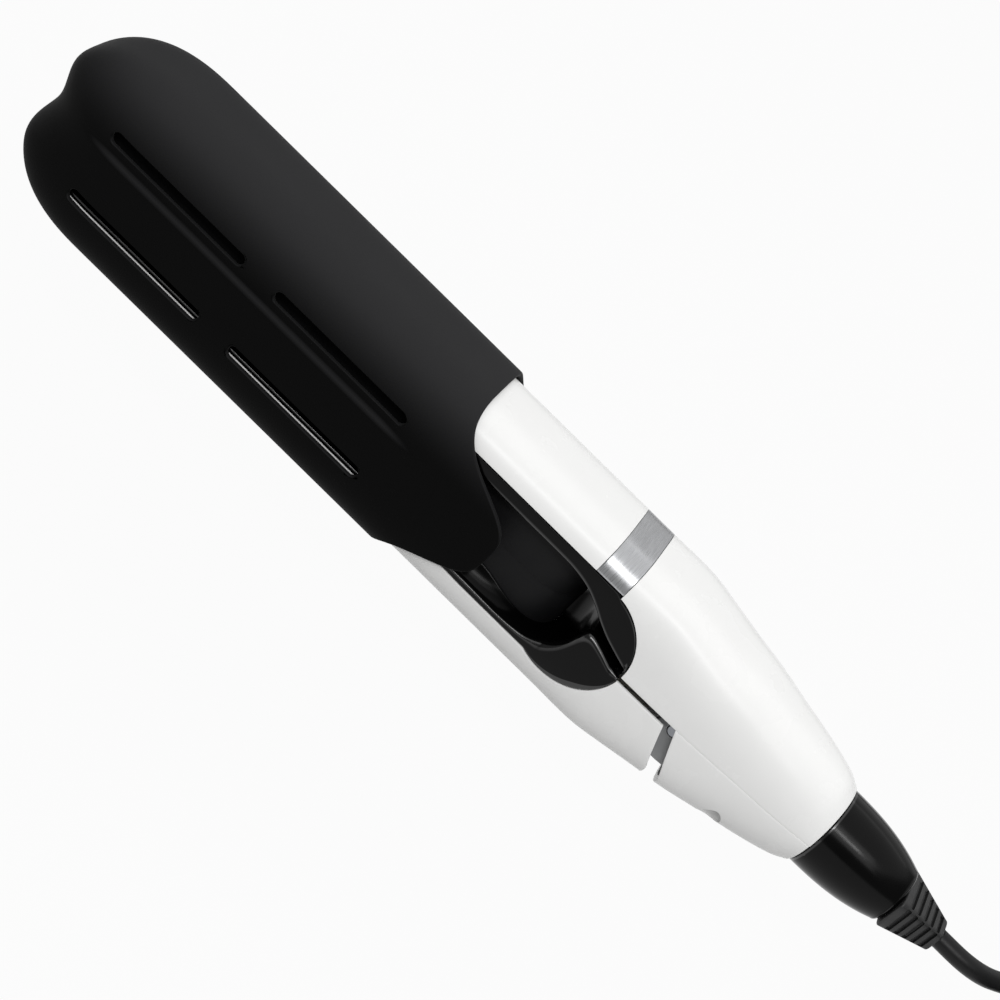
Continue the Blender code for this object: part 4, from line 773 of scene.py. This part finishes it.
def innerColumn(rim, edge, side):  # from the middle out along the floor, over the rim, to the edge
    look = innerLook
    x, z = rim
    outer = sideAt(x, z)
    inner = min(frameHalfAt(x), max(outer - look["leastFloor"], 0))
    length = hypot(edge[0] - x, edge[1] - z)
    fillet = min(look["rims"][side], look["filletOfFloor"] * (outer - inner),
                 look["filletOfBand"] * length)
    rise = np.interp(x, look["riseAt"], look["rise"]) if side < 0 else 0.0
    span = max(outer - fillet - inner, 0.001)
    inward = []
    for k in range(look["floorSteps"] + 1):
        t = k / look["floorSteps"]
        inward.append((x, inner + span * t, z + rise * (1 - t) ** look["risePower"]))
    length = max(length, 0.001)
    band = []
    for k in range(look["bandSteps"] + 1):
        t = fillet / length + (1 - fillet / length) * k / look["bandSteps"]
        bx, bz = blend(x, edge[0], t), blend(z, edge[1], t)
        band.append((bx, sideAt(bx, bz), bz))
    a, b = np.array(inward[-1]), np.array(band[0])
    corner = np.array((x, outer, z))
    turn = [tuple((1 - t) ** 2 * a + 2 * t * (1 - t) * corner + t * t * b)
            for t in np.arange(1, look["turnSteps"]) / look["turnSteps"]]
    return [place(px, -py, pz) for px, py, pz in [*inward, *turn, *band]]


def innerShell(name, rims, edges, side):
    table = [innerColumn(rim, edge, side)[::side] for rim, edge in zip(rims, edges)]
    piece = weld(sheet(name, table), 0.00001, False)
    modify(piece, "MIRROR", use_axis=(False, True, False), use_clip=True, merge_threshold=0.00008)
    modify(piece, "SOLIDIFY", thickness=innerLook["wall"] * mm, offset=-1, use_even_offset=False)
    soften(piece, innerLook["edge"], 60, 2)
    return smooth(piece, 50)


def atTip(x, first, tip):  # a rim's place moved to its edge's: from the tip, and level at the nose's end
    return tip + (x - first) * (noseEnd - tip) / (noseEnd - first) if x < noseEnd else x


rimHeight = innerLook["rimHeight"]
rimTip, topTip = innerLook["upperTips"]
rims = [(x, rimHeight) for x in armPlaces(rimTip, innerLook["upperStart"], 26, 50)]
rims += [tuple(p) for p in evenly(curved([rims[-1], *innerLook["upperRim"]], 12), 70)[1:]]
tops = []
for x, _ in rims:
    shifted = atTip(x, rimTip, topTip)
    off = max(shifted - body["discX"], 0)
    height = innerLook["upperTop"]
    if off > 0:
        step, slope = innerLook["step"]
        height = sqrt(max(innerLook["disc"] ** 2 - off**2, 0)) + max(0.0, step - off * slope)
    tops.append((shifted, height))
upperInner = innerShell("upperInner", rims, tops, 1)
finish(upperInner, "black_gloss_plastic", "upper_inner_shell", material=dishAbs)

lowerEdge = innerLook["lowerEdge"]
start = noseX(innerLook["lowerRimTip"]) + innerLook["start"]
tipX = noseX(rimHeight) + innerLook["start"]
hingeX = innerLook["lowerTaper"][1]
rims = [(x, np.interp(x, innerLook["lowerTaper"], (-innerLook["lowerRimTip"], -rimHeight)))
        for x in armPlaces(start, hingeX, 26, 56)]
edges = []
for x, _ in rims:
    shifted = atTip(x, start, tipX)
    edges.append((shifted, np.interp(shifted, shellLook["taper"], (-rimHeight, -lowerEdge))))
meetX = meetDisc(innerLook["disc"], lowerEdge)
under = [(hingeX, -lowerEdge), (meetX, -lowerEdge)]
under += roundDisc(innerLook["disc"], meetX, innerLook["lowerTurn"], 60, -1)[1:]
rims += [tuple(p) for p in evenly(curved(innerLook["lowerRim"], 12), 100)[1:]]
edges += [tuple(p) for p in evenly(under, 100)[1:]]
lowerInner = innerShell("lowerInner", rims, edges, -1)
knuckleLook = {"at": (209.5, -3.0), "radius": 3.4, "width": 8.4, "bore": 1.8, "drill": 16,
               "from": 185.5, "tongue": (3.7, 1.8), "edge": 0.4}
(pinX, pinZ), (halfY, halfZ) = knuckleLook["at"], knuckleLook["tongue"]


def pinRod(name, radius, width):  # a rod along the hinge's line
    return rod(name, (pinX, -width / 2, pinZ), (0, 1, 0), radius, width)


tongue = block("knuckleTongue", (knuckleLook["from"], -halfY, pinZ - halfZ), (pinX, halfY, pinZ + halfZ))
soften(tongue, knuckleLook["edge"])
barrel = pinRod("knuckleBarrel", knuckleLook["radius"], knuckleLook["width"])
cut(barrel, pinRod("knuckleBore", knuckleLook["bore"], knuckleLook["drill"]))
lowerInner = join("lowerInner", lowerInner, tongue, barrel)
smooth(lowerInner, 50)
finish(lowerInner, "black_gloss_plastic", "lower_inner_shell", owner="lower_arm", material=dishAbs)
print("black inner shells made")

# Plate frames: raised matt islands with round ends, pocketed for the plates
frameLook = {"half": 12.0, "ends": (21.5, 160.7), "tops": {1: 13.6, -1: 13.2}, "low": 0.012,
             "pocketEnds": (21.7, 120.3), "pocketHalf": 10.8, "pocketDeep": 9.5, "pocketOpen": 5.0,
             "edge": 0.01}
plateLook = {"ends": (22.0, 120.0), "half": 10.5, "low": 0.15, "top": 2.55, "edge": 0.5}
for name, side, owner in (("upper", 1, "main_body"), ("lower", -1, "lower_arm")):
    low, high = sorted((side * frameLook["low"], side * frameLook["tops"][side]))
    start, end = frameLook["ends"]
    island = stadium(name + "Frame", (start, 0, low), (0, 0, 1), frameLook["half"], high - low,
                     end - start, 128)
    start, end = frameLook["pocketEnds"]
    halfY = frameLook["pocketHalf"]
    low, high = sorted((-side * frameLook["pocketOpen"], side * frameLook["pocketDeep"]))
    cut(island, block("pocket", (start, -halfY, low), (end, halfY, high)))
    soften(island, frameLook["edge"], 60, 2)
    smooth(island, 40)
    finish(island, "black_matt_plastic", name + "_plate_frame", owner=owner)
    start, end = plateLook["ends"]
    low, high = sorted((side * plateLook["low"], side * plateLook["top"]))
    plate = block(name + "Plate", (start, -plateLook["half"], low), (end, plateLook["half"], high))
    soften(plate, plateLook["edge"], 45, 4)
    smooth(plate, 40)
    finish(plate, "plate_ceramic", name + "_plate", owner=owner)
print("plate frames made")

# Tail cap: glossy black ferrule, turned, with a rounded end
capLook = {"start": 250.9, "length": 24.4, "startRadius": 11.3, "endRadius": 7.7, "power": 2.6, "edge": 0.8,
           "neck": 9.8, "neckWall": 1.4, "neckLength": 5.0, "bore": 4.5, "boreEdge": 0.2, "boreEnd": 2.0,
           "inside": (6.5, 8.4), "lip": ((0.0, 0.35), (0.05, 0.15), (0.2, 0.03))}


def capRadius(depth):
    share = (depth / capLook["length"]) ** capLook["power"]
    return blend(capLook["startRadius"], capLook["endRadius"], share)


length, edge, bore, neck = (capLook[key] for key in ("length", "edge", "bore", "neck"))
neckInside = (-capLook["neckLength"], neck - capLook["neckWall"])
profile = [neckInside, (-capLook["neckLength"], neck), (0.0, neck)]
profile += [(depth, capLook["startRadius"] - less) for depth, less in capLook["lip"]]
profile += [(depth, capRadius(depth)) for depth in np.linspace(0.4, length - edge, 56)]
edgeRadius = capRadius(length - edge)
profile += [(length - edge * (1 - sin(t)), edgeRadius - edge * (1 - cos(t)))
            for t in np.linspace(0, pi / 2, 12)[1:]]
profile += [(length, r) for r in np.linspace(edgeRadius - edge, bore + capLook["boreEdge"], 6)[1:]]
profile += [(length - capLook["boreEdge"], bore), (length - capLook["boreEnd"], bore),
            (length - capLook["boreEnd"] - capLook["boreEdge"], capLook["inside"][0]),
            (2.0, capLook["inside"][1]), neckInside]
cap = smooth(turned("tailCap", (capLook["start"], 0, 0), (1, 0, 0), profile, 128), 40)
finish(cap, "black_gloss_plastic", "tail_cap")

# Strain relief: tapered square sleeve with five slots across each face, on a round plug in the cap
reliefLook = {"start": 275.6, "end": 289.3, "wide": (8.8, 5.2), "narrow": (3.7, 3.0), "square": 7.0,
              "slots": 5, "first": 2.2, "pitch": 2.2, "width": 1.0, "depth": 0.8, "soft": 0.28,
              "plug": ((270.9, 6.3), (271.0, 6.4), (272.9, 6.4), (273.0, 4.2), (275.5, 4.2)),
              "startLess": 0.4, "startEdge": (0.35, 0.6), "endEdge": 0.8, "faceAngle": 37,
              "faceFade": 0.10, "along": 150, "sides": 128}


def slotShare(depth):  # how deep the relief is slotted at a depth from its start, 0 to 1
    look = reliefLook
    turn = (depth - look["first"]) / look["pitch"]
    if not -0.5 < turn < look["slots"]:
        return 0.0
    off = depth - (look["first"] + min(max(floor(turn), 0), look["slots"] - 1) * look["pitch"])
    return ease(min(off, look["width"] - off) / look["soft"] + 0.5)


def reliefSections():  # rows of x, half width, half height, squareness and slotted share
    look, square, edge = reliefLook, reliefLook["square"], reliefLook["endEdge"]
    rows = [(x, half, half, 2, 0) for x, half in look["plug"]]
    rows.append((look["start"], *(half - look["startLess"] for half in look["wide"]), square, 0))
    for x in np.linspace(look["start"] + 0.15, look["end"] - edge, look["along"]):
        depth = x - look["start"]
        share = depth / (look["end"] - look["start"])
        less = look["startEdge"][0] * max(0, 1 - depth / look["startEdge"][1]) ** 2
        halves = [blend(a, b, share) - less for a, b in zip(look["wide"], look["narrow"])]
        rows.append((x, *halves, square, slotShare(depth)))
    for t in np.linspace(0, pi / 2, 8)[1:]:
        less = edge * (1 - cos(t))
        rows.append((look["end"] - edge * (1 - sin(t)), halves[0] - less, halves[1] - less, square, 0))
    return rows


def reliefRing(x, halfY, halfZ, power, sunk):
    look, ring = reliefLook, []
    for angle in circle(look["sides"], -1, 0.5):
        y, z = rounded(angle, halfY, halfZ, power)
        c, s = abs(cos(angle)), abs(sin(angle))
        onFace = (sin(radians(look["faceAngle"])) - min(c, s)) / look["faceFade"]
        dent = look["depth"] * sunk * within(onFace)
        if c > s:
            y -= copysign(dent, y)
        else:
            z -= copysign(dent, z)
        ring.append(place(x, y, z))
    return ring


relief = smooth(ringed("strainRelief", [reliefRing(*row) for row in reliefSections()]), 45)
finish(relief, "black_cord_rubber", "strain_relief", material=reliefPvc)

# Power button with a dished face, and the lamp's lens behind it
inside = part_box("power_button")[0][1] / mm
face = buttonLook["y"] + buttonLook["lip"] - inside
radius, flange = buttonLook["radius"], buttonLook["flange"]
profile = [(0, 0), (0, flange), (0.6, flange), (0.7, radius), (face - 0.5, radius),
           (face - 0.15, radius - 0.12), (face, radius - 0.5), (face - 0.1, radius - 0.9)]
profile += [(face - 0.1 - 0.35 * (1 - (r / 2.5) ** 2), r) for r in np.linspace(2.4, 0, 12)]
spot = (buttonLook["x"], inside, buttonLook["z"])
button = smooth(turned("powerButton", spot, (0, 1, 0), profile, 72), 40)
finish(button, "black_gloss_plastic", "power_button", owner="power_button")
profile = [(0, 0), (0, 1.28), (3.0, 1.28), (3.2, 1.2), (3.35, 0.9), (3.45, 0.5), (3.48, 0)]
spot = (lensLook["x"], lensLook["y"] - lensLook["depth"], lensLook["z"])
lens = smooth(turned("lampLens", spot, (0, 1, 0), profile, 48), 50)
finish(lens, "lens_plastic", "indicator_lens")
print("tail end made")

# Heat guard: silicone sock with two lobes at the tip, a slotted panel on each side, and tongues
guardLook = {
    "skin": 1.76, "wall": 1.45, "reach": 150.4, "scoop": 26.5, "drop": 1.5, "bell": 13.7, "edge": 0.45,
    "notch": 3.6, "notchHalf": 14.0, "slotHeight": 3.4, "slotLength": 41.5, "drill": 50,
    "slots": ((22.6, 8.8), (74.0, 8.8), (22.6, -9.9), (74.0, -9.9)),
    "around": 280, "nose": 40, "along": 116, "fullAt": 60,
    "step": {"depth": 1.0, "from": 3.6, "slope": 1.6, "fade": 11.0, "ends": (13.0, 124.0), "run": 14.0},
}
guardTip = body["armTip"] - guardLook["skin"]


def guardPoint(angle, x):  # on the guard's outside, with its step band and the notch in its nose
    look, step = guardLook, guardLook["step"]
    half, tall, power = section(x, -look["skin"])
    y, z = rounded(angle, half, tall, power)
    sunk = ease((z - step["from"]) / step["slope"]) * ease(1 - (z - step["from"]) / step["fade"])
    sunk *= ease((x - step["ends"][0]) / step["run"]) * ease((step["ends"][1] - x) / step["run"])
    y -= copysign(step["depth"] * sunk, y)
    gone = min((x - guardTip) / noseEnd, 1)
    dent = 0.5 + 0.5 * cos(pi * min(abs(z) / look["notchHalf"], 1))
    return x + look["notch"] * (1 - gone) * dent, y, z


def guardAngles():  # the angles of points spread evenly round the full section
    look = guardLook
    half, tall, power = section(look["fullAt"], -look["skin"])
    fine = np.linspace(0, 2 * pi, 4001)
    points = np.array([rounded(angle, half, tall, power) for angle in fine])
    length = np.concatenate(([0], np.cumsum(np.hypot(*np.diff(points, axis=0).T))))
    return np.interp(np.arange(look["around"]) / look["around"] * length[-1], length, fine)


def guardTable():
    look = guardLook
    noseStops = [guardTip + (noseEnd - guardTip) * (1 - cos(pi / 2 * k / look["nose"])
                                                    ** (2 / body["nosePower"]))
                 for k in range(1, look["nose"] + 1)]
    columns = []
    for angle in guardAngles():
        _, _, z = guardPoint(angle, look["fullAt"])
        end = look["reach"] - look["scoop"] * (1 - 1 / (1 + ((z + look["drop"]) / look["bell"]) ** 4))
        armStops = [blend(noseEnd, end, k / look["along"]) for k in range(1, look["along"] + 1)]
        column = [place(guardTip + look["notch"], 0, 0)]
        for stop in noseStops + armStops:
            x, y, z = guardPoint(angle, stop)
            column.append(place(x, y, max(z, -body["axisHeight"])))
        columns.append(column)
    return [*columns, columns[0]]


guard = weld(sheet("heatGuard", guardTable()), turn=False)
modify(guard, "SOLIDIFY", thickness=guardLook["wall"] * mm, offset=-1, use_even_offset=False)
radius = guardLook["slotHeight"] / 2
for slotX, slotZ in guardLook["slots"]:
    cut(guard, stadium("slot", (slotX + radius, -guardLook["drill"] / 2, slotZ), (0, 1, 0), radius,
                       guardLook["drill"], guardLook["slotLength"] - 2 * radius, 48))
soften(guard, guardLook["edge"], 55, clamp=False)
smooth(guard, 60)
finish(guard, "black_silicone", "heat_guard", owner="heat_guard")
print("heat guard made")

# Inner parts keep their CAD shape; each takes the finish of its slot
slotNodes = {
    "grey_plastic": ["hinge_bracket", "cord_clamp"],
    "spring_steel": ["hinge_pin", "hinge_spring", "upper_heater_leaf", "lower_heater_leaf"],
    "satin_metal": ["clamp_screw_a", "clamp_screw_b", "tail_screw_a", "tail_screw_b",
                    "upper_thermal_fuse", "lower_thermal_fuse"],
    "heater_foil": ["upper_heater", "lower_heater"],
    "board_laminate": ["circuit_board"],
    "black_matt_plastic": ["power_switch", "board_capacitor"],
    "lead_sleeve": ["upper_lead_a", "upper_lead_b", "lower_lead_a", "lower_lead_b"],
    "black_cord_rubber": ["mains_lead_inner"],
}
for slotName, names in slotNodes.items():
    for name in names:
        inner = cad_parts[name]
        inner.data.materials.clear()
        inner.data.materials.append(slotLooks[slotName])
print("inner parts dressed")

# Studio: a broad white table that lies low enough for the opened arm, a lamp box above, one behind,
# and a soft box with a strip on the near side
tableLook = {"radius": 6.0, "drop": 0.045, "colour": "#a8a8a8", "rough": 0.55, "own": 0.945}
skyStrength = 0.25
tableTop, tree, shader, spot = begin("White laminate table, satin", tableLook["colour"], tableLook["rough"])
release()
bpy.ops.mesh.primitive_circle_add(vertices=96, radius=tableLook["radius"], fill_type="NGON",
                                  location=(0, 0, -tableLook["drop"]))
ground = added("tableTop")
settle()
path = put(tree, "LightPath").outputs
seen = reckon(tree, "ADD", path["Is Camera Ray"], path["Is Glossy Ray"])
seen = reckon(tree, "ADD", seen, path["Is Transmission Ray"])  # these rays see the table's own white
share = put(tree, "Math", {1: tableLook["own"]}, {0: seen}, operation="MULTIPLY", use_clamp=True)
glow = put(tree, "Emission", {"Color": linear("#ffffff"), "Strength": 1.0})
mixed = put(tree, "MixShader", (), {0: share.outputs[0], 1: shader.outputs[0], 2: glow.outputs[0]})
tree.links.new(mixed.outputs[0], tree.nodes["Material Output"].inputs["Surface"])
ground.data.materials.append(tableTop)

lampLooks = (
    # name, place, aimed at, width, height, watts
    ("fillAbove", (0.0, 0.0, 1.7), (0, 0, 0), 3.4, 3.4, 31.0),
    ("fillFar", (0.0, 1.8, 1.1), (0, 0, 0.02), 3.2, 1.6, 8.0),
    ("boxNear", (0.30, -1.25, 1.15), (0, 0, 0.02), 1.5, 0.8, 8.5),
    ("stripNear", (0.25, -1.30, 1.20), (0, 0, 0.02), 1.1, 0.14, 8.0),
)
for name, spotAt, aim, width, height, watts in lampLooks:
    release()
    bpy.ops.object.light_add(type="AREA", location=spotAt)
    lamp = added(name)
    lamp.rotation_euler = (Vector(spotAt) - Vector(aim)).to_track_quat("Z", "Y").to_euler()
    lamp.data.shape = "RECTANGLE"
    lamp.data.size, lamp.data.size_y = width, height
    lamp.data.energy = watts
world = bpy.data.worlds.new("studioRoom")
bpy.context.scene.world = world
world.use_nodes = True
sky = world.node_tree.nodes["Background"]
sky.inputs["Color"].default_value = linear("#ffffff")
sky.inputs["Strength"].default_value = skyStrength
bpy.context.scene.view_settings.view_transform = "Standard"
